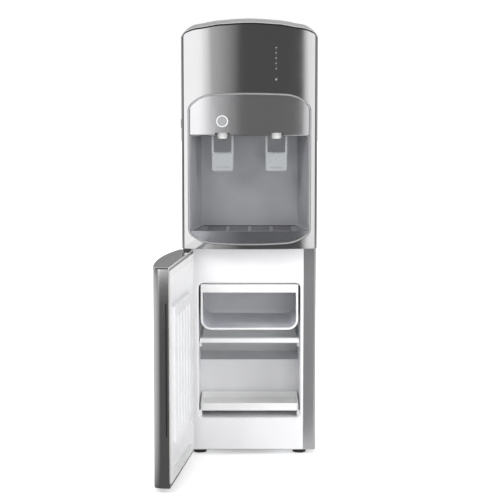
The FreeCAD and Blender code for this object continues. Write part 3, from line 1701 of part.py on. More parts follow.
def compressor():
    radius = S.compressor_radius
    level = S.plate_level + S.plate_thick
    top = level + S.compressor_height
    dome = S.compressor_dome
    pot = new_body("compressor_pot")
    turn(pot, [
        (0, level),
        (radius, level),
        (radius, top - dome),
        (radius - dome, top),
        (0, top),
    ])
    place(pot, COMPRESSOR_X, COMPRESSOR_Y, 0)
    half = S.plate_half
    deep = S.plate_deep
    plate = box("compressor_plate", (COMPRESSOR_X - half, COMPRESSOR_X + half),
                (COMPRESSOR_Y - deep, COMPRESSOR_Y + deep), (S.plate_level, level))
    corners = [(COMPRESSOR_X + (half - S.grommet_radius) * i, COMPRESSOR_Y + (deep - S.grommet_radius) * j)
               for i in (-1, 1) for j in (-1, 1)]
    side = COMPRESSOR_X - radius + dome / 8
    relay = box("compressor_relay", (side - S.relay_depth, side),
                (COMPRESSOR_Y - S.relay_width / 2, COMPRESSOR_Y + S.relay_width / 2),
                (level + dome, level + dome + S.relay_height))
    node("compressor", fuse("compressor", [pot, plate, relay]))
    floor = S.foot_height + S.pan_sheet
    grommets = [rod("grommet", "z", floor, S.plate_level, spot, S.grommet_radius) for spot in corners]
    node("compressor_grommets", group("compressor_grommets", grommets))


CONDENSER_Y = BACK + S.panel_sheet + S.condenser_gap
CONDENSER_RUNS = int(S.condenser_runs.value)


def condenser():
    left = -S.condenser_left
    right = S.condenser_right
    pitch = S.condenser_pitch
    radius = S.condenser_tube
    y = CONDENSER_Y
    points = [(left, y, S.condenser_low)]
    for run in range(CONDENSER_RUNS):
        level = S.condenser_low + pitch * run
        end = right if run % 2 == 0 else left
        points.append((end, y, level))
        if run < CONDENSER_RUNS - 1:
            points.append((end, y, level + pitch))
    tube = pipe("condenser_tube", points, radius, pitch / 2.2)
    wires = []
    count = int((right - left).value / S.wire_pitch.value) - 2
    wire = S.condenser_wire
    for index in range(count):
        x = left + S.wire_pitch * (index + 1.5)
        side = radius + wire if index % 2 else -radius - wire
        wires.append(box("wire", (x - wire, x + wire), (y + side - wire, y + side + wire),
                         (S.condenser_low - radius * 2,
                          S.condenser_low + pitch * (CONDENSER_RUNS - 1) + radius * 2)))
    node("condenser", group("condenser", [tube] + wires))
    clips = [box("clip", (x - S.clip_width / 2, x + S.clip_width / 2),
                 (BACK + S.panel_sheet, y - radius),
                 (level - S.clip_height / 2, level + S.clip_height / 2))
             for x in (left + S.wire_pitch * 2, right - S.wire_pitch * 2)
             for level in (S.condenser_low + pitch, S.condenser_low + pitch * (CONDENSER_RUNS - 2))]
    node("condenser_clips", group("condenser_clips", clips))


def refrigerant_lines():
    x = S.drier_side
    y = COMPRESSOR_Y
    low = S.drier_low
    top = low + S.drier_length
    drier = new_body("filter_drier")
    radius = S.drier_radius
    tube = S.line_radius
    neck = radius - tube
    turn(drier, [
        (0, low),
        (tube, low),
        (radius, low + neck * 2),
        (radius, top - neck * 2),
        (tube, top),
        (0, top),
    ])
    place(drier, x, y, 0)
    level = S.plate_level + S.plate_thick + S.compressor_height / 2
    right = COMPRESSOR_X + S.compressor_radius
    bend = tube * 4
    rise = pipe("discharge_line", [(right, y, level), (right + bend * 2.5, y, level),
                                   (right + bend * 2.5, y, S.bay_top - S.fit)], tube, bend)
    feed = rod("drier_feed", "z", top, S.bay_top - S.fit, (x, y), tube)
    foot = pipe("drier_line", [(x, y, low), (x, y, low - bend * 1.6), (x - bend * 3, y, low - bend * 1.6)],
                tube, bend)
    node("refrigerant_lines", group("refrigerant_lines", [drier, rise, feed, foot]))


# ------------------------------------------------------------------ controls

def switches():
    cases = []
    for index, name in enumerate(("hot", "cold")):
        x = -S.switch_side - S.switch_spacing * index
        z = S.switch_level
        back = BACK + S.panel_sheet
        width, height = S.switch_half_width, S.switch_half_height
        rim = S.switch_rim
        case = box("switch_case", (x - width, x + width), (back - S.switch_depth, back),
                   (z - height, z + height))
        lip = box("switch_lip", (x - width - rim, x + width + rim), (back, back + rim),
                  (z - height - rim, z + height + rim))
        well = box("switch_well", (x - width + rim, x + width - rim),
                   (back - S.switch_depth + rim, back + rim), (z - height + rim, z + height - rim))
        cases.append(cut("switch_case", fuse("switch_blank", [case, lip]), [well]))
        play = S.rocker_play
        half = height - rim - play * 2
        rocker = new_body(f"rocker_{name}")
        face = back + rim + S.rocker_proud
        pad(rocker, "YZ", [[
            (back - S.rocker_depth, z - half * 0.6),
            (face, z - half),
            (face - S.rocker_proud * 0.6, z),
            (face, z + half),
            (back - S.rocker_depth, z + half * 0.6),
        ]], x - width + rim + play, x + width - rim - play)
        pivot = Vector(x.value, (back - S.rocker_pivot).value, z.value)
        tilt = Rotation(Vector(1, 0, 0), -S.rocker_tilt.value)
        rocker.Placement = FreeCAD.Placement(Vector(), tilt, pivot)
        node(f"rocker_{name}", rocker)
    node("switch_cases", group("switch_cases", cases))


def service_fittings():
    x = -S.service_side
    back = BACK + S.panel_sheet
    body = rod("gland_body", "y", BACK - S.gland_length / 2, back + S.gland_length / 2,
               (x, S.gland_level), S.gland_radius)
    flange = hexagon("gland_flange", "y", back, back + S.switch_rim * 1.5, (x, S.gland_level),
                 S.gland_radius * 1.5)
    bore = rod("gland_bore", "y", BACK - S.gland_length, back + S.gland_length, (x, S.gland_level),
               S.gland_bore)
    node("cord_gland", cut("cord_gland", fuse("gland_blank", [body, flange]), [bore]))
    stem = rod("drain_stem", "y", BACK - S.drain_length, back + S.drain_length, (x, S.drain_level),
               S.drain_radius)
    plate = hexagon("drain_plate", "y", back, back + S.switch_rim, (x, S.drain_level), S.drain_flange)
    way = rod("drain_way", "y", BACK - S.drain_length, back + S.drain_length, (x, S.drain_level),
              S.drain_bore)
    node("drain_outlet", cut("drain_outlet", fuse("drain_blank", [stem, plate]), [way]))
    inner = S.drain_radius + S.fit
    start = back + S.switch_rim + S.fit
    cup = rod("cap_cup", "y", start, start + S.cap_length + S.switch_rim + S.fit * 4, (x, S.drain_level),
              S.cap_radius)
    room = rod("cap_room", "y", start, back + S.drain_length + S.fit, (x, S.drain_level), inner)
    node("drain_cap", cut("drain_cap", cup, [room]))


def thermostat():
    y = FRONT + S.knob_back
    z = S.knob_level
    inside = -HALF + S.panel_sheet
    case = rod("thermostat_case", "x", inside + S.fit, inside + S.thermostat_depth, (y, z),
               S.thermostat_radius)
    bore = rod("thermostat_bore", "x", inside, inside + S.shaft_length + S.fit, (y, z),
               S.shaft_radius + S.pin_play)
    node("thermostat", cut("thermostat", case, [bore]))
    skirt = rod("knob_skirt", "x", -HALF - S.knob_proud, -HALF - S.fit, (y, z), S.knob_radius)
    shaft = rod("knob_shaft", "x", -HALF - S.knob_proud / 2, inside + S.shaft_length, (y, z),
                S.shaft_radius)
    pointer = box("knob_pointer", (-HALF - S.knob_proud - 0.8, -HALF - S.knob_proud / 2),
                  (y - 1, y + 1), (z + 2, z + S.knob_radius - 1))
    node("thermostat_knob", fuse("thermostat_knob", [skirt, shaft, pointer]))


def screws():
    back = BACK + S.panel_sheet
    side = HALF - S.back_side_gap - S.screw_inset
    levels = [S.back_low + S.screw_inset, S.drain_level + S.screw_inset * 4,
              S.side_top - S.screw_inset]
    heads = [hexagon("screw", "y", back, back + S.screw_height, (side * i, level), S.screw_radius)
             for i in (-1, 1) for level in levels]
    node("back_screws", group("back_screws", heads))


# ------------------------------------------------------------------ assembly

feet()
base_pan()
side_panel("left", S.flange_left)
side_panel("right", S.flange_right)
back_panel()
decks()
front_panel()
indicators()
top_cover()
bottle_collar()
recess_bezel()
alcove_shell()
tap_housing()
taps()
levers()
lock_button()
drip_tray()
fridge_liner()
fridge_foam()
freezer()
glass_shelf()
lower_tray()
door()
hinges()
tanks()
hoses()
compressor()
condenser()
refrigerant_lines()
switches()
service_fittings()
thermostat()
screws()
DOCUMENT.recompute()

failed = [thing.Label for thing in DOCUMENT.Objects if {"Invalid", "Error"} & set(thing.State)]
if failed:
    raise RuntimeError("failed: " + ", ".join(failed))
for part in NODES:
    if part.Shape.isNull() or not part.Shape.isValid() or not part.Shape.Solids:
        raise RuntimeError("bad shape: " + part.Label)

os.makedirs("parts", exist_ok=True)
for part in NODES:
    part.Shape.exportStep(f"parts/{part.Label}.step")
print(len(NODES), "sub-parts written")
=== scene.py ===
import json
import math

import bmesh
import bpy
from mathutils import Matrix, Vector


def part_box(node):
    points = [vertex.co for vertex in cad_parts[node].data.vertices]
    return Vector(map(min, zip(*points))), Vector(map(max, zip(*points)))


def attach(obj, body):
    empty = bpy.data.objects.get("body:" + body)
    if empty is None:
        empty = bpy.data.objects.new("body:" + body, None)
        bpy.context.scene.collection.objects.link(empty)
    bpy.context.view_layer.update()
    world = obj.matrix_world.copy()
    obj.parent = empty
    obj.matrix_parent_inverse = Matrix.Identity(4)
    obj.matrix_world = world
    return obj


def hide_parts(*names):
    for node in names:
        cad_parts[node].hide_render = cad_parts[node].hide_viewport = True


# A silver water cooler with two taps over a small refrigerator whose door stands open.
# X runs to the right, Y to the back and Z up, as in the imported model.  The cooler's shapes
# are written in millimetres; its materials, the studio and the camera are in metres.

MM = 0.001

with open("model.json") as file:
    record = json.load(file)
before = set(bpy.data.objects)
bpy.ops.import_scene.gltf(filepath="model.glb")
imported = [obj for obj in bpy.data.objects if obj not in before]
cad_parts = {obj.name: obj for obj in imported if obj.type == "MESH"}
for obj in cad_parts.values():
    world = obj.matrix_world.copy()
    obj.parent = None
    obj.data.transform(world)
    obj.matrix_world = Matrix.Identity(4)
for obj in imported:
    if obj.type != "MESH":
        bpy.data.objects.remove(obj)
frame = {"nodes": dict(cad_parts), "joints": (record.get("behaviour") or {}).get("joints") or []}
nodes = frame["nodes"]
joints = {joint["name"]: joint for joint in frame["joints"]}
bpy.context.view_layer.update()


def box(node):
    """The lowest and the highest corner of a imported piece, in millimetres."""
    return [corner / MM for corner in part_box(node)]


# ------------------------------------------------------------------ building materials

def linear(code):
    """The linear colour that Blender works in, from an sRGB hex code."""
    parts = [int(code[k:k + 2], 16) / 255 for k in (1, 3, 5)]
    curved = [c / 12.92 if c <= 0.04045 else ((c + 0.055) / 1.055) ** 2.4 for c in parts]
    return (*curved, 1)


def add(tree, kind, inputs=None, **settings):
    """Adds a node; each input is given a value, or the output that feeds it."""
    made = tree.nodes.new(kind)
    for setting, value in settings.items():
        setattr(made, setting, value)
    for socket, value in (inputs or {}).items():
        if isinstance(value, bpy.types.NodeSocket):
            tree.links.new(value, made.inputs[socket])
        else:
            made.inputs[socket].default_value = value
    return made


def bare(name):
    """A new material with nothing in it."""
    material = bpy.data.materials.new(name)
    material.use_nodes = True
    material.node_tree.nodes.clear()
    return material


def begin(name, sockets):
    """A new material; what is the same all over is set on its shader's own sockets."""
    material = bare(name)
    tree = material.node_tree
    shader = add(tree, "ShaderNodeBsdfPrincipled", sockets)
    add(tree, "ShaderNodeOutputMaterial", {"Surface": shader.outputs["BSDF"]})
    place = add(tree, "ShaderNodeTexCoord").outputs["Object"]
    return material, tree, shader, place


def spread(tree, place, size, low, high):
    """A value that drifts between low and high in patches of the given size."""
    cloud = add(tree, "ShaderNodeTexNoise", {"Vector": place, "Scale": 1 / size, "Detail": 2.0})
    return add(tree, "ShaderNodeMapRange",
               {"Value": cloud.outputs["Fac"], "From Min": 0.3, "From Max": 0.7,
                "To Min": low, "To Max": high}).outputs["Result"]


def between(tree, share, dark, light):
    """The colour that lies a share of the way from one hex code to another."""
    return add(tree, "ShaderNodeMix", {"Factor": share, "A": linear(dark), "B": linear(light)},
               data_type="RGBA").outputs["Result"]


def tint(tree, place, size, dark, light):
    """A colour that drifts between two hex codes in patches of the given size."""
    return between(tree, spread(tree, place, size, 0, 1), dark, light)


def dress(tree, shader, colour, roughness, relief, depth):
    """Feeds a shader its colour and its roughness, and a relief that is this deep."""
    bump = add(tree, "ShaderNodeBump", {"Height": relief, "Distance": depth})
    tree.links.new(colour, shader.inputs["Base Color"])
    tree.links.new(roughness, shader.inputs["Roughness"])
    tree.links.new(bump.outputs["Normal"], shader.inputs["Normal"])


# ------------------------------------------------------------------ the finishes

def moulded(name, dark, light, roughness, grain, depth, ior=1.5):
    """Injection moulded plastic: a fine even grain from the tool, and a faint drift in
    tone and polish where the plastic flowed."""
    material, tree, shader, place = begin(name, {"IOR": ior})
    erosion = add(tree, "ShaderNodeTexNoise", {"Vector": place, "Scale": 1 / grain, "Detail": 3.0})
    dress(tree, shader, tint(tree, place, 60 * MM, dark, light),
          spread(tree, place, 25 * MM, roughness * 0.9, roughness * 1.12),
          erosion.outputs["Fac"], depth)
    return material


def silver_flake(name, dark, light, roughness, coat, flake, metallic=1.0):
    """Metal flakes in paint or plastic under a clear skin: each flake has its own tone, and
    the skin lies in a soft orange peel a few millimetres across."""
    material, tree, shader, place = begin(
        name, {"Metallic": metallic, "Coat Weight": coat, "Coat Roughness": 0.05})
    flakes = add(tree, "ShaderNodeTexVoronoi", {"Vector": place, "Scale": 1 / flake})
    tone = add(tree, "ShaderNodeSeparateColor", {"Color": flakes.outputs["Color"]})
    peel = add(tree, "ShaderNodeTexNoise", {"Vector": place, "Scale": 1 / (4 * MM), "Detail": 1.0})
    dress(tree, shader, between(tree, tone.outputs["Red"], dark, light),
          spread(tree, place, 40 * MM, roughness * 0.92, roughness * 1.1),
          peel.outputs["Fac"], 0.006 * MM)
    return material


def stove_enamel(name, dark, light, roughness, texture, depth):
    """Powder coat on sheet steel: an even pebbled skin that softens every highlight."""
    material, tree, shader, place = begin(name, {})
    pebble = add(tree, "ShaderNodeTexNoise",
                 {"Vector": place, "Scale": 1 / texture, "Detail": 2.0})
    dress(tree, shader, tint(tree, place, 120 * MM, dark, light),
          spread(tree, place, 30 * MM, roughness * 0.9, roughness * 1.1),
          pebble.outputs["Fac"], depth)
    return material


def zinc_plate():
    """Galvanised sheet: grey crystals about 9 mm across, each with its own polish."""
    material, tree, shader, place = begin("galvanised_steel", {"Metallic": 1.0})
    spangle = add(tree, "ShaderNodeTexVoronoi", {"Vector": place, "Scale": 1 / (9 * MM)})
    split = add(tree, "ShaderNodeSeparateColor", {"Color": spangle.outputs["Color"]})
    polish = add(tree, "ShaderNodeMapRange",
                 {"Value": split.outputs["Green"], "To Min": 0.32, "To Max": 0.5})
    dress(tree, shader, between(tree, split.outputs["Red"], "#9b9ea1", "#b9bcbf"),
          polish.outputs["Result"], spangle.outputs["Distance"], 0.02 * MM)
    return material


def brushed_steel(name, along, dark, light, roughness):
    """Belt-ground metal: hair lines half a millimetre apart that run along one way."""
    material, tree, shader, place = begin(name, {"Metallic": 1.0})
    across = [1 / (0.5 * MM)] * 3
    across["XYZ".index(along)] = 1 / (60 * MM)
    lines = add(tree, "ShaderNodeMapping", {"Vector": place, "Scale": across})
    hair = add(tree, "ShaderNodeTexNoise",
               {"Vector": lines.outputs["Vector"], "Scale": 1.0, "Detail": 2.0})
    polish = add(tree, "ShaderNodeMapRange",
                 {"Value": hair.outputs["Fac"], "To Min": roughness * 0.8,
                  "To Max": roughness * 1.3})
    dress(tree, shader, between(tree, hair.outputs["Fac"], dark, light),
          polish.outputs["Result"], hair.outputs["Fac"], 0.01 * MM)
    return material


def rubber(name, dark, light, roughness):
    """Moulded rubber: dull, with a bloom in soft patches and a fine pitted skin."""
    material, tree, shader, place = begin(name, {"IOR": 1.52})
    pits = add(tree, "ShaderNodeTexNoise",
               {"Vector": place, "Scale": 1 / (0.8 * MM), "Detail": 4.0})
    dress(tree, shader, tint(tree, place, 14 * MM, dark, light),
          spread(tree, place, 8 * MM, roughness * 0.9, roughness), pits.outputs["Fac"], 0.05 * MM)
    return material


def bead_foam():
    """Expanded polystyrene: white beads 3.5 mm across, pressed flat against each other."""
    material, tree, shader, place = begin("expanded_polystyrene", {"IOR": 1.45})
    beads = add(tree, "ShaderNodeTexVoronoi", {"Vector": place, "Scale": 1 / (3.5 * MM)},
                feature="F1")
    edge = add(tree, "ShaderNodeMapRange",
               {"Value": beads.outputs["Distance"], "From Min": 0.35, "From Max": 0.7,
                "To Min": 1.0, "To Max": 0.0}).outputs["Result"]
    dress(tree, shader, between(tree, edge, "#d2d2cd", "#eeeeea"),
          spread(tree, place, 4 * MM, 0.62, 0.75), edge, 0.35 * MM)
    return material


def poured_foam():
    """Rigid polyurethane foam: straw yellow, with skinned-over bubbles 2 mm across."""
    material, tree, shader, place = begin("polyurethane_foam", {"IOR": 1.45})
    cells = add(tree, "ShaderNodeTexVoronoi", {"Vector": place, "Scale": 1 / (2 * MM)},
                feature="SMOOTH_F1")
    dress(tree, shader, tint(tree, place, 30 * MM, "#d8c48a", "#e6d8a8"),
          spread(tree, place, 6 * MM, 0.7, 0.85), cells.outputs["Distance"], 0.4 * MM)
    return material


def shelf_sheet():
    """Toughened float glass: clear and faintly green, with the slightest roller wave."""
    material, tree, shader, place = begin("toughened_glass", {"IOR": 1.52, "Alpha": 0.16})
    wave = add(tree, "ShaderNodeTexNoise", {"Vector": place, "Scale": 1 / (40 * MM), "Detail": 0.0})
    dress(tree, shader, tint(tree, place, 90 * MM, "#d3e6de", "#dcece6"),
          spread(tree, place, 30 * MM, 0.0, 0.03), wave.outputs["Fac"], 0.02 * MM)
    return material


def drawn_copper():
    """Copper tube: warm, finely scuffed, with brown heat stains in patches."""
    material, tree, shader, place = begin("copper_tube", {"Metallic": 1.0})
    scuffs = add(tree, "ShaderNodeTexNoise", {"Vector": place, "Scale": 1 / (1 * MM), "Detail": 3.0})
    dress(tree, shader, tint(tree, place, 18 * MM, "#a8683f", "#d99a6e"),
          spread(tree, place, 10 * MM, 0.24, 0.4), scuffs.outputs["Fac"], 0.02 * MM)
    return material


def rolled_aluminium():
    """Roll-bonded aluminium sheet under white lacquer: pale, with soft rolling lines."""
    material, tree, shader, place = begin("lacquered_aluminium", {"Metallic": 0.1})
    stretch = add(tree, "ShaderNodeMapping",
                  {"Vector": place, "Scale": (1 / MM, 1 / (50 * MM), 1 / MM)})
    lines = add(tree, "ShaderNodeTexNoise",
                {"Vector": stretch.outputs["Vector"], "Scale": 1.0, "Detail": 2.0})
    dress(tree, shader, tint(tree, place, 35 * MM, "#e2e3ea", "#ecedf2"),
          spread(tree, place, 12 * MM, 0.34, 0.46), lines.outputs["Fac"], 0.015 * MM)
    return material


def silicone_hose():
    """Food-grade silicone: milky, soft-edged and slightly waxy."""
    material, tree, shader, place = begin(
        "silicone_rubber", {"IOR": 1.43, "Subsurface Weight": 0.35,
                            "Subsurface Radius": (4 * MM, 4 * MM, 3.6 * MM)})
    skin_marks = add(tree, "ShaderNodeTexNoise",
                     {"Vector": place, "Scale": 1 / (2 * MM), "Detail": 1.0})
    dress(tree, shader, tint(tree, place, 20 * MM, "#d2d2cb", "#dfdfd9"),
          spread(tree, place, 9 * MM, 0.3, 0.42), skin_marks.outputs["Fac"], 0.02 * MM)
    return material


def circuit_board():
    """Glass-fibre board under green solder lacquer, with tracks 1.5 mm apart."""
    material, tree, shader, place = begin("circuit_board", {"IOR": 1.5})
    tracks = add(tree, "ShaderNodeTexBrick",
                 {"Vector": place, "Scale": 1 / (3 * MM), "Mortar Size": 0.06,
                  "Color1": linear("#16502b"), "Color2": linear("#1b5c33"),
                  "Mortar": linear("#3b7a45")})
    dress(tree, shader, tracks.outputs["Color"], spread(tree, place, 5 * MM, 0.25, 0.35),
           tracks.outputs["Fac"], 0.03 * MM)
    return material


def lamp_lens():
    """Clear styrene over a small white lamp: a bright core in a glassy dome."""
    material, tree, shader, place = begin("clear_styrene",
                                          {"IOR": 1.59, "Emission Strength": 0.04})
    tree.links.new(tint(tree, place, 2 * MM, "#808385", "#949698"), shader.inputs["Base Color"])
    tree.links.new(tint(tree, place, 3 * MM, "#dfe6ea", "#f6fafc"), shader.inputs["Emission Color"])
    tree.links.new(spread(tree, place, 3 * MM, 0.08, 0.16), shader.inputs["Roughness"])
    return material


# Silver lacquer on moulded ABS: a mirror-like skin that turns the room into soft bands.
PANEL = silver_flake("gloss_silver_lacquer", "#c3c3c4", "#cdcdce", 0.095, 0.3, 0.7 * MM)
# The same lacquer over the tap housing, sprayed a little drier, so its bands are softer.
HOUSING = silver_flake("satin_silver_lacquer", "#cbcbcd", "#d5d5d7", 0.12, 0.2, 0.7 * MM, 0.94)
# Silver stove paint on the sheet steel sides: half the shine, and a flat grey in shade.
SIDES = silver_flake("silver_stove_paint", "#b2b2b4", "#bcbcbe", 0.33, 0.15, 0.9 * MM, 0.75)
# Silver-filled ABS of the cover: paler than paint, and its shine is soft.
COVER = silver_flake("silver_filled_abs", "#c0c0c2", "#cacacc", 0.4, 0.1, 0.8 * MM, 0.3)
# Bright silver paint on the thin moulded ring round the recess: it draws one pale line.
RING = silver_flake("bright_silver_lacquer", "#d2d2d4", "#dadadc", 0.3, 0.3, 0.7 * MM, 0.55)
# Mid-grey ABS with a fine spark-eroded grain, which keeps the recess matt.
RECESS = moulded("grey_abs", "#9a9b9f", "#a2a3a7", 0.36, 0.9 * MM, 0.02 * MM, 1.53)
# The tray and its grille are the same plastic under a dark metallic lacquer, so they mirror.
TRAY = silver_flake("dark_metallic_lacquer", "#8b8c91", "#94959a", 0.12, 0.3, 0.7 * MM, 0.8)
# The levers are ABS with silver powder in the plastic, so they shine without paint.
LEVER = silver_flake("silver_powder_abs", "#c0c3c6", "#cbced0", 0.28, 0.2, 0.6 * MM, 0.45)
# The press button is plain grey ABS with a satin top.
BUTTON = moulded("satin_grey_abs", "#9a9b9e", "#a5a6a9", 0.34, 1 * MM, 0.02 * MM, 1.53)
# White high-impact polystyrene, vacuum formed over the foam: smooth with a soft sheen.
LINER = moulded("white_polystyrene", "#eeeef0", "#f2f2f4", 0.34, 9 * MM, 0.008 * MM, 1.5)
# White ABS of the trims, the lock's ring and the spouts, polished in the tool.
WHITE = moulded("white_abs", "#ececec", "#f4f4f4", 0.22, 2.5 * MM, 0.012 * MM, 1.53)
# White acetal of bushes and valves: waxy and a touch translucent.
ACETAL = moulded("white_acetal", "#e2e3df", "#ecece8", 0.38, 1.2 * MM, 0.02 * MM, 1.48)
# Pale grey soft vinyl of the door seal.
SEAL = rubber("soft_vinyl", "#e6e7e6", "#ededec", 0.5)
# Black rubber of the feet and grommets.
BLACK_RUBBER = rubber("black_rubber", "#1c1c1c", "#2a2a2a", 0.75)
# Black nylon of the clips, switches and plugs.
BLACK_NYLON = moulded("black_nylon", "#191a1b", "#232425", 0.45, 0.8 * MM, 0.03 * MM, 1.53)
# Black stoved enamel on the compressor and the condenser: thick, wet-looking and lumpy.
BLACK_ENAMEL = stove_enamel("black_stoved_enamel", "#0d0d0e", "#161617", 0.22, 3 * MM, 0.05 * MM)
# Grey powder coat on the back and the inner decks.
POWDER = stove_enamel("grey_powder_coat", "#85878a", "#8f9194", 0.5, 0.7 * MM, 0.04 * MM)
ZINC = zinc_plate()
BRUSHED = brushed_steel("brushed_stainless_steel", "Z", "#a9a9a8", "#c4c4c2", 0.28)
PLATED = brushed_steel("bright_zinc_plating", "X", "#b3b5b6", "#cfd1d2", 0.22)
BEADS = bead_foam()
FOAM = poured_foam()
GLASS = shelf_sheet()
COPPER = drawn_copper()
ALUMINIUM = rolled_aluminium()
SILICONE = silicone_hose()
BOARD = circuit_board()
LENS = lamp_lens()
# Red and green polycarbonate of the two rocker switches.
RED_ROCKER = moulded("red_polycarbonate", "#a51d1d", "#b52424", 0.18, 2 * MM, 0.008 * MM, 1.58)
GREEN_ROCKER = moulded("green_polycarbonate", "#1f7a3d", "#278a47", 0.18, 2 * MM, 0.008 * MM, 1.58)

FINISHES = (
    (PANEL, "front_panel door_shell"),
    (HOUSING, "tap_housing"),
    (SIDES, "side_panel_left side_panel_right"),
    (COVER, "top_cover"),
    (RING, "recess_bezel"),
    (RECESS, "alcove_shell"),
    (TRAY, "drip_tray drip_grille"),
    (LEVER, "lever_hot lever_cold"),
    (BUTTON, "lock_button thermostat_knob"),
    (LINER, "fridge_liner door_liner"),
    (WHITE, "freezer_frame shelf_trim lower_tray spouts bottle_collar cold_tank_lid lock_ring"),
    (ACETAL, "tap_valves door_bushes drain_outlet"),
    (SEAL, "door_gasket"),
    (BLACK_RUBBER, "feet compressor_grommets"),
    (BLACK_NYLON, "condenser_clips cord_gland drain_cap switch_cases thermostat"),
    (BLACK_ENAMEL, "compressor condenser"),
    (POWDER, "back_panel service_deck tank_deck"),
    (ZINC, "base_pan"),
    (BRUSHED, "cold_tank hot_tank"),
    (PLATED, "upper_hinge lower_hinge back_screws lever_pins"),
    (BEADS, "cold_tank_insulation"),
    (FOAM, "fridge_foam door_foam hot_tank_jacket"),
    (GLASS, "shelf_glass"),
    (COPPER, "refrigerant_lines"),
    (ALUMINIUM, "freezer_box"),
    (SILICONE, "hoses"),
    (BOARD, "indicator_board"),
    (LENS, "indicator_lenses"),
    (RED_ROCKER, "rocker_hot"),
    (GREEN_ROCKER, "rocker_cold"),
)

for finish, names in FINISHES:
    for name in names.split():
        nodes[name].data.materials.clear()
        nodes[name].data.materials.append(finish)


# ------------------------------------------------------------------ eased edges

def eased(part, radius):
    """Breaks the sharp edges of a piece, as a tool or a paint film does."""
    weld = part.modifiers.new("joined", "WELD")
    weld.merge_threshold = 0.01 * MM
    bevel = part.modifiers.new("eased", "BEVEL")
    bevel.width = radius * MM
    bevel.segments = 2
    bevel.limit_method = "ANGLE"
    bevel.angle_limit = math.radians(35)
    bevel.use_clamp_overlap = True
    bevel.miter_outer = "MITER_ARC"
    even = part.modifiers.new("even", "WEIGHTED_NORMAL")
    even.keep_sharp = False
    for face in part.data.polygons:
        face.use_smooth = True


EDGES = (
    (0.35, "tap_housing drip_tray drip_grille"),
    (0.3, "side_panel_left side_panel_right back_panel"),
    (0.6, "lower_tray freezer_frame shelf_trim alcove_shell fridge_liner door_liner"),
)

for radius, names in EDGES:
    for name in names.split():
        eased(nodes[name], radius)


# ------------------------------------------------------------------ making pieces

def plain_object(name, data):
    made = bpy.data.objects.new(name, data)
    bpy.context.scene.collection.objects.link(made)
    return made


def hang(name, data, finish, body, slot, *stands_for):
    """Adds a piece with its finish, lets it ride on its body and stand for its nodes."""
    data.materials.append(finish)
    made = plain_object(name, data)
    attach(made, body)
    if stands_for:
        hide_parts(*stands_for)
    return made


def finished(name, shape):
    """The mesh of a shape, smooth but for its real edges."""
    bmesh.ops.remove_doubles(shape, verts=shape.verts, dist=0.004 * MM)
    bmesh.ops.dissolve_degenerate(shape, edges=shape.edges, dist=0.002 * MM)
    bmesh.ops.recalc_face_normals(shape, faces=shape.faces)
    mesh = bpy.data.meshes.new(name)
    shape.to_mesh(mesh)
    shape.free()
    mesh.shade_smooth()
    mesh.set_sharp_from_angle(angle=math.radians(38))
    return mesh


def skin(name, rows, hollow=False):
    """Joins rows of points into a closed skin; a hollow one joins its last row to its first."""
    shape = bmesh.new()
    rings = [[shape.verts.new(Vector(point) * MM) for point in row] for row in rows]
    pairs = list(zip(rings, rings[1:]))
    if hollow:
        pairs.append((rings[-1], rings[0]))
    for low, high in pairs:
        for k in range(len(low)):
            after = (k + 1) % len(low)
            shape.faces.new((low[k], low[after], high[after], high[k]))
    if not hollow:
        shape.faces.new(reversed(rings[0]))
        shape.faces.new(rings[-1])
    return finished(name, shape)


def circle(centre, radius, axis="Z", sides=32):
    """Points round a centre, in the plane that an axis is square to."""
    points = []
    for k in range(sides):
        turn = math.tau * k / sides
        a, b = radius * math.cos(turn), radius * math.sin(turn)
        away = {"X": (0, a, b), "Y": (a, 0, b), "Z": (a, b, 0)}[axis]
        points.append(Vector(centre) + Vector(away))
    return points


def merged(name, meshes):
    """One mesh from several."""
    shape = bmesh.new()
    for mesh in meshes:
        shape.from_mesh(mesh)
        bpy.data.meshes.remove(mesh)
    made = bpy.data.meshes.new(name)
    shape.to_mesh(made)
    shape.free()
    return made


def rounded_bar(name, one, other, radius, steps=3):
    """A straight bar between two opposite corners, with its edges rounded."""
    middle = (Vector(one) + Vector(other)) / 2
    span = Vector(other) - Vector(one)
    place = Matrix.Translation(middle * MM) @ Matrix.Diagonal((*(span * MM), 1))
    shape = bmesh.new()
    bmesh.ops.create_cube(shape, size=1, matrix=place)
    bmesh.ops.bevel(shape, geom=list(shape.edges), offset=radius * MM, segments=steps,
                    affect="EDGES", profile=0.5)
    return finished(name, shape)


def tube(name, routes, radius, sides=4):
    """A round tube along each route of points."""
    line = bpy.data.curves.new(name, "CURVE")
    line.dimensions = "3D"
    line.bevel_depth = radius * MM
    line.bevel_resolution = sides
    line.use_fill_caps = True
    for route in routes:
        spline = line.splines.new("POLY")
        spline.points.add(len(route) - 1)
        for point, place in zip(spline.points, route):
            point.co = (*(Vector(place) * MM), 1)
    return line


def bent(corners, radius, steps=8):
    """A route through its corners, each turned by an arc of the radius."""
    route = [corners[0]]
    for before, corner, after in zip(corners, corners[1:], corners[2:]):
        here = Vector(corner)
        back = (Vector(before) - here).normalized()
        ahead = (Vector(after) - here).normalized()
        half = back.angle(ahead) / 2
        reach = radius / math.tan(half)
        middle = here + (back + ahead).normalized() * (radius / math.sin(half))
        start = (here + back * reach - middle).normalized()
        end = (here + ahead * reach - middle).normalized()
        route += [middle + start.slerp(end, k / steps) * radius for k in range(steps + 1)]
    route.append(corners[-1])
    return route


# ------------------------------------------------------------------ taps

TAPS = ("hot", "cold")
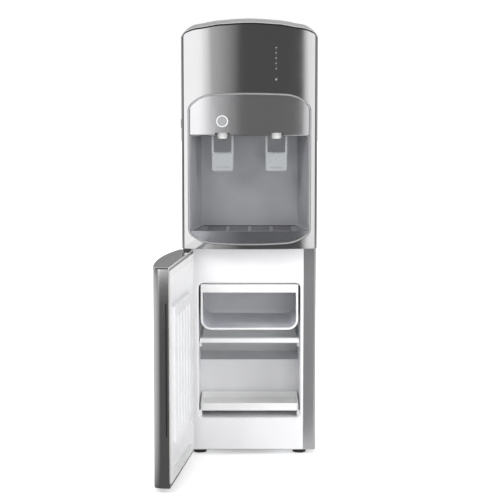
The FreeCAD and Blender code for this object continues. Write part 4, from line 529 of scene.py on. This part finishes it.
# The photograph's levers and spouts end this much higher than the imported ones.
LEVER_SHORTER, SPOUT_SHORTER = 4.5, 6
PADDLE = {"tall": 45, "corner": 7, "thick": 4, "horn": 7}
DISH = {"rim": 1.8, "deep": 1.8}
LIP = {"wide": 1.2, "deep": 1.0}
GROOVE = {"rise": 9.5, "half": 1.3, "side": 14.5, "deep": 3.6}
ARM = {"wide": 5.2, "round": 1.1, "past_pin": 2, "into_paddle": 4}
EYE = {"radius": 4.9, "inner": 13.2}


def dip(edge, rise, off):
    """How deep a paddle's face lies, from the distances to its edge, its foot and its
    middle: a rounded lip, a rim, a dish, and a grip groove near the foot."""
    if abs(off) < GROOVE["side"] and abs(rise - GROOVE["rise"]) < GROOVE["half"]:
        return GROOVE["deep"]
    fall = min(max((edge - DISH["rim"] / 2) / DISH["rim"], 0), 1)
    lip = LIP["deep"] * max(0, 1 - edge / LIP["wide"]) ** 2
    return DISH["deep"] * fall * fall * (3 - 2 * fall) + lip


def paddle(x, front, foot, half):
    """What a cup pushes: a plate whose upper corners run up into the arms as horns."""
    tall, corner, horn_slope = PADDLE["tall"], PADDLE["corner"], 0.8
    across, up = 52, 46
    shares = [k / up for k in range(up + 1)]
    shares += [(GROOVE["rise"] + side * (GROOVE["half"] + step)) / tall
               for side in (-1, 1) for step in (-0.1, 0.1)]
    shape = bmesh.new()
    grid = []
    for share in sorted(shares):
        row = []
        for i in range(across + 1):
            along = 2 * i / across - 1
            top = tall + PADDLE["horn"] * abs(along) ** 5
            rise = top * share
            over = max(0.0, corner - rise)
            wide = half - corner + math.sqrt(corner * corner - over * over)
            edge = min(wide * (1 - abs(along)), rise, (top - rise) * horn_slope)
            y = front + dip(edge, rise, wide * along)
            row.append(shape.verts.new(Vector((x + wide * along, y, foot + rise)) * MM))
        grid.append(row)
    for lower, upper in zip(grid, grid[1:]):
        for k in range(across):
            shape.faces.new((lower[k], lower[k + 1], upper[k + 1], upper[k]))
    right, left = [row[-1] for row in grid[1:]], [row[0] for row in grid[-2:0:-1]]
    rim = grid[0] + right + grid[-1][-2::-1] + left
    back = (front + PADDLE["thick"]) * MM
    behind = [shape.verts.new((point.co.x, back, point.co.z)) for point in rim]
    for k in range(len(rim)):
        after = (k + 1) % len(rim)
        shape.faces.new((rim[k], rim[after], behind[after], behind[k]))
    shape.faces.new(behind)
    return finished("paddle", shape)


def lever(tap):
    """A tap's lever: a paddle on two arms, with an eye on each arm for the pin."""
    low, high = box("lever_" + tap)
    pin = Vector(joints[tap + "_lever_push"]["pos_m"]) / MM
    half = (high.x - low.x) / 2
    front, foot = pin.y - PADDLE["thick"] / 2, low.z + LEVER_SHORTER
    back, arm_foot = front + PADDLE["thick"], foot + PADDLE["tall"] - ARM["into_paddle"]
    parts = [paddle(pin.x, front, foot, half - 0.5)]
    for side in (-1, 1):
        outer, inner = pin.x + side * half, pin.x + side * (half - ARM["wide"])
        parts.append(rounded_bar("arm", (min(outer, inner), front + 0.2, arm_foot),
                                 (max(outer, inner), back, pin.z + ARM["past_pin"]),
                                 ARM["round"]))
        ends = (outer, pin.x + side * EYE["inner"])
        parts.append(skin("eye", [circle((x, pin.y, pin.z), EYE["radius"], "X") for x in ends]))
    hang("lever_" + tap + "_shaped", merged("lever_" + tap, parts), LEVER, tap + "_lever",
         "lever_silver", "lever_" + tap)


def spouts():
    """Two short nozzles with a rounded lip and a bore."""
    low, high = box("spouts")
    y, foot, top = (low.y + high.y) / 2, low.z + SPOUT_SHORTER, high.z
    wide, bore, lip = 11.5, 4.0, 4.0
    profile = [(bore, top), (bore, foot + 1.5), (bore + 0.8, foot + 0.4), (bore + 2, foot)]
    for degrees in range(0, 91, 15):
        turn = math.radians(degrees)
        profile.append((wide - lip + lip * math.sin(turn), foot + lip - lip * math.cos(turn)))
    profile += [(wide + 0.3, top - 6), (wide + 0.5, top)]
    parts = []
    for tap in TAPS:
        x = joints[tap + "_lever_push"]["pos_m"][0] / MM
        parts.append(skin("spout", [circle((x, y, z), radius) for radius, z in profile],
                          hollow=True))
    hang("spouts_turned", merged("spouts", parts), WHITE, "cabinet", "white_plastic", "spouts")


# ------------------------------------------------------------------ door skin

# The front's bow, seen from above: its radius and where its centre lies behind the middle.
BOW_RADIUS, BOW_CENTRE = 711.25, 514.75
HALF = box("front_panel")[1].x
# The corners between the door's sides and its front: how wide and how deep each oval is.
FREE_CORNER, HINGE_CORNER = (8, 18), (8, 8)
DOOR_BACK, DOOR_SEAT, DOOR_WALL = -145.0, -155.6, 1.5
# The finger slot in the free side: from where to where it runs, and how deep it is.
GRIP = {"low": 130.0, "high": 424.0, "back": -149.6, "mouth": 2.8, "deep": 6.0}
HINGE = Vector(joints["door_hinge"]["pos_m"]) / MM
SWING = Matrix.Rotation(math.radians(joints["door_hinge"]["range_deg"][0]), 4, "Z")
OPEN = Matrix.Translation(HINGE) @ SWING @ Matrix.Translation(-HINGE)


def bow(x, reach=BOW_RADIUS):
    """Where the front lies at a distance from the middle."""
    return BOW_CENTRE - math.sqrt(reach * reach - x * x)


def corner_arc(side, inset, oval, steps=12):
    """The oval corner between the door's side and its convex front."""
    wide, deep, reach = oval[0] - inset, oval[1] - inset, BOW_RADIUS - inset
    x = HALF - inset - wide
    start = math.atan(wide * math.tan(math.asin(x / reach)) / deep)
    y = bow(x + wide * math.sin(start), reach) + deep * math.cos(start)
    points = []
    for k in range(steps + 1):
        turn = math.pi / 2 + (start - math.pi / 2) * k / steps
        points.append((side * (x + wide * math.sin(turn)), y - deep * math.cos(turn)))
    return points


def door_outline(z, inset, hollow):
    """The shut door at one level, seen from above, and swung to where it stands open."""
    right, wall = HALF - inset, HALF - DOOR_WALL
    slot = right - GRIP["deep"] if GRIP["low"] < z < GRIP["high"] else right
    mouth = GRIP["back"] - GRIP["mouth"]
    outline = [(right, DOOR_BACK), (right, GRIP["back"]), (slot, GRIP["back"]), (slot, mouth),
               (right, mouth)]
    outline += corner_arc(1, inset, FREE_CORNER)
    far = corner_arc(-1, inset, HINGE_CORNER)[::-1]
    start, end, steps = outline[-1][0], far[0][0], 24
    for k in range(1, steps):
        x = start + (end - start) * k / steps
        outline.append((x, bow(x, BOW_RADIUS - inset)))
    seat = DOOR_SEAT if hollow else DOOR_BACK
    outline += far + [(-right, DOOR_BACK), (-wall, DOOR_BACK), (-wall, seat),
                      (wall - GRIP["deep"], seat), (wall - GRIP["deep"], DOOR_BACK)]
    return [OPEN @ Vector((x, y, z)) for x, y in outline]


def door_skin():
    """The door's silver shell, with rounded edges and the finger slot in its free side, and
    a black strip laid in the slot: painted shade, standing in for the slot's own shadow."""
    low, high = (corner.z for corner in box("door_shell"))
    edge, hair, steps = 3.0, 0.01, 4
    turns = [math.pi / 2 * k / steps for k in range(steps + 1)]
    ends = [(edge * (1 - math.cos(turn)), edge * (1 - math.sin(turn))) for turn in turns]
    levels = [(low + rise, inset, False) for rise, inset in ends]
    levels.append((low + edge + hair, 0, True))
    for level in (GRIP["low"], GRIP["high"]):
        levels += [(level - hair, 0, True), (level + hair, 0, True)]
    levels.append((high - edge - hair, 0, True))
    levels += [(high - rise, inset, False) for rise, inset in reversed(ends)]
    shell = hang("door_skin", skin("door_skin", [door_outline(*level) for level in levels]),
                 PANEL, "door", "silver_gloss", "door_shell")
    shell.modifiers.new("even", "WEIGHTED_NORMAL").keep_sharp = True
    # A black strip in the finger slot: painted shade, in place of the slot's own shadow.
    slot_shade = rounded_bar("grip_slot_shade",
                       (HALF - 5.0, GRIP["back"] - GRIP["mouth"] + 0.1, GRIP["low"] + 0.5),
                       (HALF - 0.6, GRIP["back"] - 0.1, GRIP["high"] - 0.5), 0.4, 2)
    slot_shade.transform(Matrix.Scale(MM, 4) @ OPEN @ Matrix.Scale(1 / MM, 4))
    hang("grip_slot_shade", slot_shade, BLACK_NYLON, "door", "black_plastic")


# ------------------------------------------------------------------ top edge and ring

# How far the arch is let down at each distance from the middle.
COVER_DROPS = ((0, 3.3), (69, 5), (105, 7), (140, 1), (159, 0))
PANEL_DROPS = ((0, 0), (69, 2), (105, 5), (140, 1.5), (159, 0))


def smooth_between(stops, at):
    """A value that runs smoothly through (place, value) stops."""
    for (start, low), (end, high) in zip(stops, stops[1:]):
        if at <= end:
            share = (at - start) / (end - start)
            return low + (high - low) * share * share * (3 - 2 * share)
    return stops[-1][1]


def lowered(node, finish, slot, drops, base, reach):
    """A copy of a node whose arched top is let down, as in the photograph: not at all below
    the base, and in full from the reach above it."""
    mesh = nodes[node].data.copy()
    mesh.materials.clear()
    for vertex in mesh.vertices:
        share = min(max((vertex.co.z / MM - base) / reach, 0), 1)
        vertex.co.z -= smooth_between(drops, abs(vertex.co.x) / MM) * share * MM
    made = hang(node + "_skin", mesh, finish, "cabinet", slot, node)
    eased(made, 0.5)


def arch_points(half, level, up, inset, corner, shoulder):
    """The right half of an arch of three radii, from its middle to its side; up is 1 for an
    arch that stands on its sides and -1 for one that hangs from them."""
    crown, crown_half = 1500, 85
    shoulder_x = (crown - shoulder) * crown_half / crown
    shoulder_z = math.sqrt((crown - shoulder) ** 2 - shoulder_x ** 2) - crown
    gap, run = shoulder - corner, half - corner - shoulder_x
    rise = math.sqrt(gap * gap - run * run)
    first, second = math.asin(crown_half / crown), math.atan2(run, rise)
    arcs = ((0, -crown, crown, 0, first, 6), (shoulder_x, shoulder_z, shoulder, first, second, 12),
            (half - corner, shoulder_z + rise, corner, second, math.pi / 2, 12))
    points = []
    for x, z, radius, start, end, steps in arcs:
        for k in range(steps):
            turn = start + (end - start) * k / steps
            points.append((x + (radius - inset) * math.sin(turn),
                           level + up * (z + (radius - inset) * math.cos(turn))))
    points.append((half - inset, level + up * (shoulder_z + rise)))
    return points


def bezel():
    """The ring round the recess: a polished bead inside a narrow shadow gap."""
    low, high = box("recess_bezel")
    top_arch, foot_arch = {"corner": 26, "shoulder": 80}, {"corner": 22, "shoulder": 90}
    # Each step of the bead: how far it lies in from the ring's edge, and proud of the front.
    profile = ((0, -8), (0, -2.4), (1.3, -2.4), (1.35, 0.5), (1.7, 1.1), (2.3, 1.35), (3.0, 1.2),
               (3.6, 0.6), (4, -0.6), (4, -8))
    rows = []
    for inset, proud in profile:
        right = arch_points(high.x, high.z, 1, inset, **top_arch)
        right += arch_points(high.x, low.z, -1, inset, **foot_arch)[::-1]
        outline = right + [(-x, z) for x, z in right[-2:0:-1]]
        rows.append([(x, bow(x, BOW_RADIUS + proud), z) for x, z in outline])
    hang("bezel_bead", skin("bezel_bead", rows, hollow=True), RING, "cabinet", "bezel_grey",
         "recess_bezel")


# ------------------------------------------------------------------ back

def condenser():
    """The condenser: one tube that snakes up, with wires welded across it on both sides."""
    low, high = box("condenser")
    radius, wire, runs, wires, spacing = 2.4, 0.9, 9, 17, 12
    left, right = low.x + radius, high.x - radius
    y, past = (low.y + high.y) / 2, radius * 2
    pitch = (high.z - low.z - past * 2) / (runs - 1)
    levels = [low.z + past + pitch * run for run in range(runs)]
    corners = [(left, y, levels[0])]
    for run, level in enumerate(levels):
        end = right if run % 2 == 0 else left
        corners.append((end, y, level))
        if level != levels[-1]:
            corners.append((end, y, levels[run + 1]))
    hang("condenser_tube", tube("condenser_tube", [bent(corners, pitch / 2.2)], radius),
         BLACK_ENAMEL, "cabinet", "black_enamel", "condenser")
    routes = []
    for k in range(wires):
        x = left + spacing * (k + 1.5)
        side = y + (radius + wire if k % 2 else -radius - wire)
        routes.append([(x, side, low.z), (x, side, high.z)])
    hang("condenser_wires", tube("condenser_wires", routes, wire, 2), BLACK_ENAMEL, "cabinet",
         "black_enamel")


def refrigerant_lines():
    """Copper lines at the compressor, with the filter drier brazed between two of them."""
    y, ceiling = 88, box("refrigerant_lines")[1].z
    line, wide, side, low, top = 3, 9, 112, 54, 150
    taper, bend = (wide - line) * 2, line * 4
    half = ((line + 0.4, 0), (line + 0.8, 3), (wide - 1.5, taper - 2), (wide, taper + 3))
    drier = [(radius, low + rise) for radius, rise in half]
    drier += [(radius, top - rise) for radius, rise in reversed(half)]
    hang("filter_drier", skin("filter_drier", [circle((side, y, z), r) for r, z in drier]),
         COPPER, "cabinet", "copper", "refrigerant_lines")
    foot, outlet = low - bend * 1.6, 90.5
    routes = [
        bent([(20, y, outlet), (50, y, outlet), (50, y, ceiling)], bend),
        [(side, y, top), (side, y, ceiling)],
        bent([(side, y, low), (side, y, foot), (side - bend * 3, y, foot)], bend),
    ]
    hang("copper_lines", tube("copper_lines", routes, line), COPPER, "cabinet", "copper")


def compressor_seam():
    """The weld seam round the compressor's pot."""
    low, high = box("compressor")
    middle, radius = (low + high) / 2, (high.y - low.y) / 2
    seam, tall, proud, sunk, steps = 96, 2.2, 1.8, 0.4, 8
    rows = []
    for k in range(steps + 1):
        turn = math.pi * k / steps
        rows.append(circle((middle.x, middle.y, seam - tall * math.cos(turn)),
                           radius - sunk + proud * math.sin(turn), sides=64))
    hang("compressor_seam", skin("compressor_seam", rows), BLACK_ENAMEL, "cabinet", "black_enamel")


def screws():
    """Pan-head screws with a cross recess, in two columns down the back panel."""
    low, high = box("back_panel")
    inset, waist, radius, sides = 8, 592, 4, 24
    profile = ((radius, 0), (radius, 0.7), (radius * 0.93, 1.2), (radius * 0.75, 1.65),
               (radius * 0.6, 2))
    cross = [2.0 if k % (sides // 4) == 0 else 0.7 for k in range(sides)]
    parts = []
    for x in (low.x + inset, high.x - inset):
        for z in (low.z + inset, waist, high.z - inset):
            rows = [circle((x, high.y + out, z), wide, "Y", sides) for wide, out in profile]
            for out in (1.85, 1.0):
                rows.append([(x + arm * math.cos(math.tau * k / sides), high.y + out,
                              z + arm * math.sin(math.tau * k / sides))
                             for k, arm in enumerate(cross)])
            parts.append(skin("head", rows))
    hang("screw_heads", merged("screw_heads", parts), PLATED, "cabinet", "zinc", "back_screws")


lowered("top_cover", COVER, "housing_silver", COVER_DROPS, base=1000, reach=30)
lowered("front_panel", PANEL, "silver_gloss", PANEL_DROPS, base=988, reach=25)
bezel()
screws()
for tap in TAPS:
    lever(tap)
spouts()
door_skin()
condenser()
refrigerant_lines()
compressor_seam()


# ------------------------------------------------------------------ studio

WORLD_FILL, FLOOR_LIFT, FLOOR_REACH = 0.55, 0.42, 14
# The boards stand in a ring round the cooler, and their ground and cloth close it.
BOARD_REACH, GROUND_REACH, WALL_TOP = 4.6, 3.8, 1.5
CLOTH_REACH, CLOTH_TOP, ABOVE_FLOOR = 0.5, 3.4, 0.004
# Brightness by the angle from straight ahead, in degrees.
BACK_BANDS = ((-180, 0.3), (-152, 0.3), (-148, 0.8), (-140, 0.12), (-104, 0.12))
SIDE_BANDS = ((-100, 0.75), (-80, 0.75), (-76, 0.1), (-37, 0.1))
FRONT_BANDS = ((-34, 1.5), (-21, 1.5), (-15.5, 0.62), (-10, 0.42), (-6, 0.25), (-4, 0.11),
               (23, 0.11), (24.5, 1.3), (34, 1.3))
GROUND_BANDS = ((-180, 0.9), (-70, 0.9), (-45, 0.7), (-31, 0.4), (-24, 0.13), (23, 0.12),
                (27, 0.9), (180, 0.9))
CLOTH_BANDS = ((-90, 0.05), (90, 0.05))
# The camera is fitted to the photograph.
EYE_PLACE, EYE_TILT = (1.25 * MM, -3546.6 * MM, 940.5 * MM), 0.1083
FOCAL_LENGTH, LENS_SHIFT = 103.63, -0.06


def seen(tree):
    """One for what the eye, a mirror or glass sees of a surface, nought for its light."""
    path = add(tree, "ShaderNodeLightPath")
    direct = add(tree, "ShaderNodeMath",
                 {0: path.outputs["Is Camera Ray"], 1: path.outputs["Is Glossy Ray"]},
                 operation="ADD", use_clamp=True)
    through = add(tree, "ShaderNodeMath",
                  {0: direct.outputs[0], 1: path.outputs["Is Transmission Ray"]},
                  operation="ADD", use_clamp=True)
    return through.outputs[0]


def floor():
    """A pale floor that the camera sees as white except where the cooler shades it."""
    mesh = bpy.data.meshes.new("studio_floor")
    reach, near, far = FLOOR_REACH, 0.5, 1.6
    mesh.from_pydata([(-reach, -reach, 0), (reach, -reach, 0), (reach, reach, 0),
                      (-reach, reach, 0)], [], [(0, 1, 2, 3)])
    material = bare("white_floor")
    tree = material.node_tree
    place = add(tree, "ShaderNodeTexCoord").outputs["Object"]
    away = add(tree, "ShaderNodeVectorMath", {0: place}, operation="LENGTH").outputs["Value"]
    lift = add(tree, "ShaderNodeMapRange",
               {"Value": away, "From Min": near, "From Max": far, "To Min": FLOOR_LIFT,
                "To Max": 1.0})
    level = add(tree, "ShaderNodeMath", {0: seen(tree), 1: lift.outputs["Result"]},
                operation="MULTIPLY")
    paper = add(tree, "ShaderNodeBsdfDiffuse", {"Color": linear("#ededed")})
    glow = add(tree, "ShaderNodeEmission", {"Strength": level.outputs[0]})
    both = add(tree, "ShaderNodeAddShader", {0: paper.outputs[0], 1: glow.outputs[0]})
    add(tree, "ShaderNodeOutputMaterial", {"Surface": both.outputs[0]})
    mesh.materials.append(material)
    plain_object("studio_floor", mesh)


def board_paint(name, bands):
    """Light whose strength follows the bands round the cooler."""
    material = bare(name)
    tree = material.node_tree
    place = add(tree, "ShaderNodeTexCoord").outputs["Object"]
    split = add(tree, "ShaderNodeSeparateXYZ", {"Vector": place})
    ahead = add(tree, "ShaderNodeMath", {0: split.outputs["Y"], 1: -1.0}, operation="MULTIPLY")
    angle = add(tree, "ShaderNodeMath", {0: split.outputs["X"], 1: ahead.outputs[0]},
                operation="ARCTAN2")
    share = add(tree, "ShaderNodeMapRange",
                {"Value": angle.outputs[0], "From Min": -math.pi, "From Max": math.pi})
    ramp = add(tree, "ShaderNodeValToRGB", {"Fac": share.outputs["Result"]})
    stops = ramp.color_ramp.elements
    for k, (degrees, level) in enumerate(bands):
        where = (degrees + 180) / 360
        stop = stops[k] if k < 2 else stops.new(where)
        stop.position = where
        stop.color = (level, level, level, 1)
    glow = add(tree, "ShaderNodeEmission", {"Color": ramp.outputs["Color"]})
    add(tree, "ShaderNodeOutputMaterial", {"Surface": glow.outputs[0]})
    material.cycles.emission_sampling = "NONE"
    return material


def board(name, profile, bands, half_turn=180):
    """A curved board round the cooler that only its shine can see; the profile gives radius
    and height."""
    steps, tall = 100, len(profile)
    points = []
    for k in range(steps + 1):
        turn = math.radians(half_turn * (2 * k / steps - 1))
        points += [(math.sin(turn) * radius, -math.cos(turn) * radius, level)
                   for radius, level in profile]
    faces = [(a, a + 1, a + tall + 1, a + tall) for k in range(steps)
             for a in range(tall * k, tall * k + tall - 1)]
    mesh = bpy.data.meshes.new(name)
    mesh.from_pydata(points, [], faces)
    mesh.materials.append(board_paint(name, bands))
    made = plain_object(name, mesh)
    made.visible_camera = False
    made.visible_diffuse = False
    made.visible_shadow = False
    made.visible_transmission = False


def boards():
    """What the curved silver mirrors: white on its left, dark ahead, white on its right,
    a dark cloth above, and a floor that is dark before the cooler."""
    left = BACK_BANDS + SIDE_BANDS
    right = tuple((-angle, level) for angle, level in reversed(left))
    middle, foot = (0.03, ABOVE_FLOOR), (GROUND_REACH, ABOVE_FLOOR)
    edge, top = (BOARD_REACH, ABOVE_FLOOR), (BOARD_REACH, WALL_TOP)
    board("studio_wall", (foot, edge, top), left + FRONT_BANDS + right)
    board("studio_ground", (middle, foot), GROUND_BANDS)
    board("studio_cloth", (top, (CLOTH_REACH, CLOTH_TOP)), CLOTH_BANDS, 75)


def softbox(name, at, towards, size, power):
    lamp = bpy.data.lights.new(name, "AREA")
    lamp.shape = "SQUARE"
    lamp.size = size
    lamp.energy = power
    made = plain_object(name, lamp)
    made.location = at
    made.rotation_euler = (Vector(towards) - Vector(at)).to_track_quat("-Z", "Y").to_euler()
    made.visible_glossy = False


def surroundings():
    """White for what the eye, a mirror or glass sees of it, softer as a light."""
    world = bpy.data.worlds.new("studio")
    bpy.context.scene.world = world
    world.use_nodes = True
    tree = world.node_tree
    tree.nodes.clear()
    level = add(tree, "ShaderNodeMapRange",
                {"Value": seen(tree), "To Min": WORLD_FILL, "To Max": 1.0})
    sky = add(tree, "ShaderNodeBackground",
              {"Color": (1, 1, 1, 1), "Strength": level.outputs["Result"]})
    add(tree, "ShaderNodeOutputWorld", {"Surface": sky.outputs[0]})


def camera():
    """A long lens some 3.4 m before the front and 0.94 m up, tipped down a little."""
    lens = bpy.data.cameras.new("photo_camera")
    lens.lens = FOCAL_LENGTH
    lens.sensor_width = 36
    lens.shift_y = LENS_SHIFT
    made = plain_object("photo_camera", lens)
    made.location = EYE_PLACE
    made.rotation_euler = (math.pi / 2 - EYE_TILT, 0, 0)
    bpy.context.scene.camera = made


floor()
boards()
surroundings()
softbox("key_light", (-2.0, -2.6, 2.6), (0, 0, 0.55), 1.8, 63)
softbox("fill_light", (2.3, -2.2, 1.7), (0, 0, 0.5), 1.6, 36)
softbox("low_light", (0.5, -3.2, 0.7), (0, 0, 0.45), 1.2, 16)
softbox("top_light", (0.2, 1.4, 3.0), (0, 0, 0.6), 2.0, 46)
camera()

bpy.context.scene.view_settings.view_transform = "Standard"
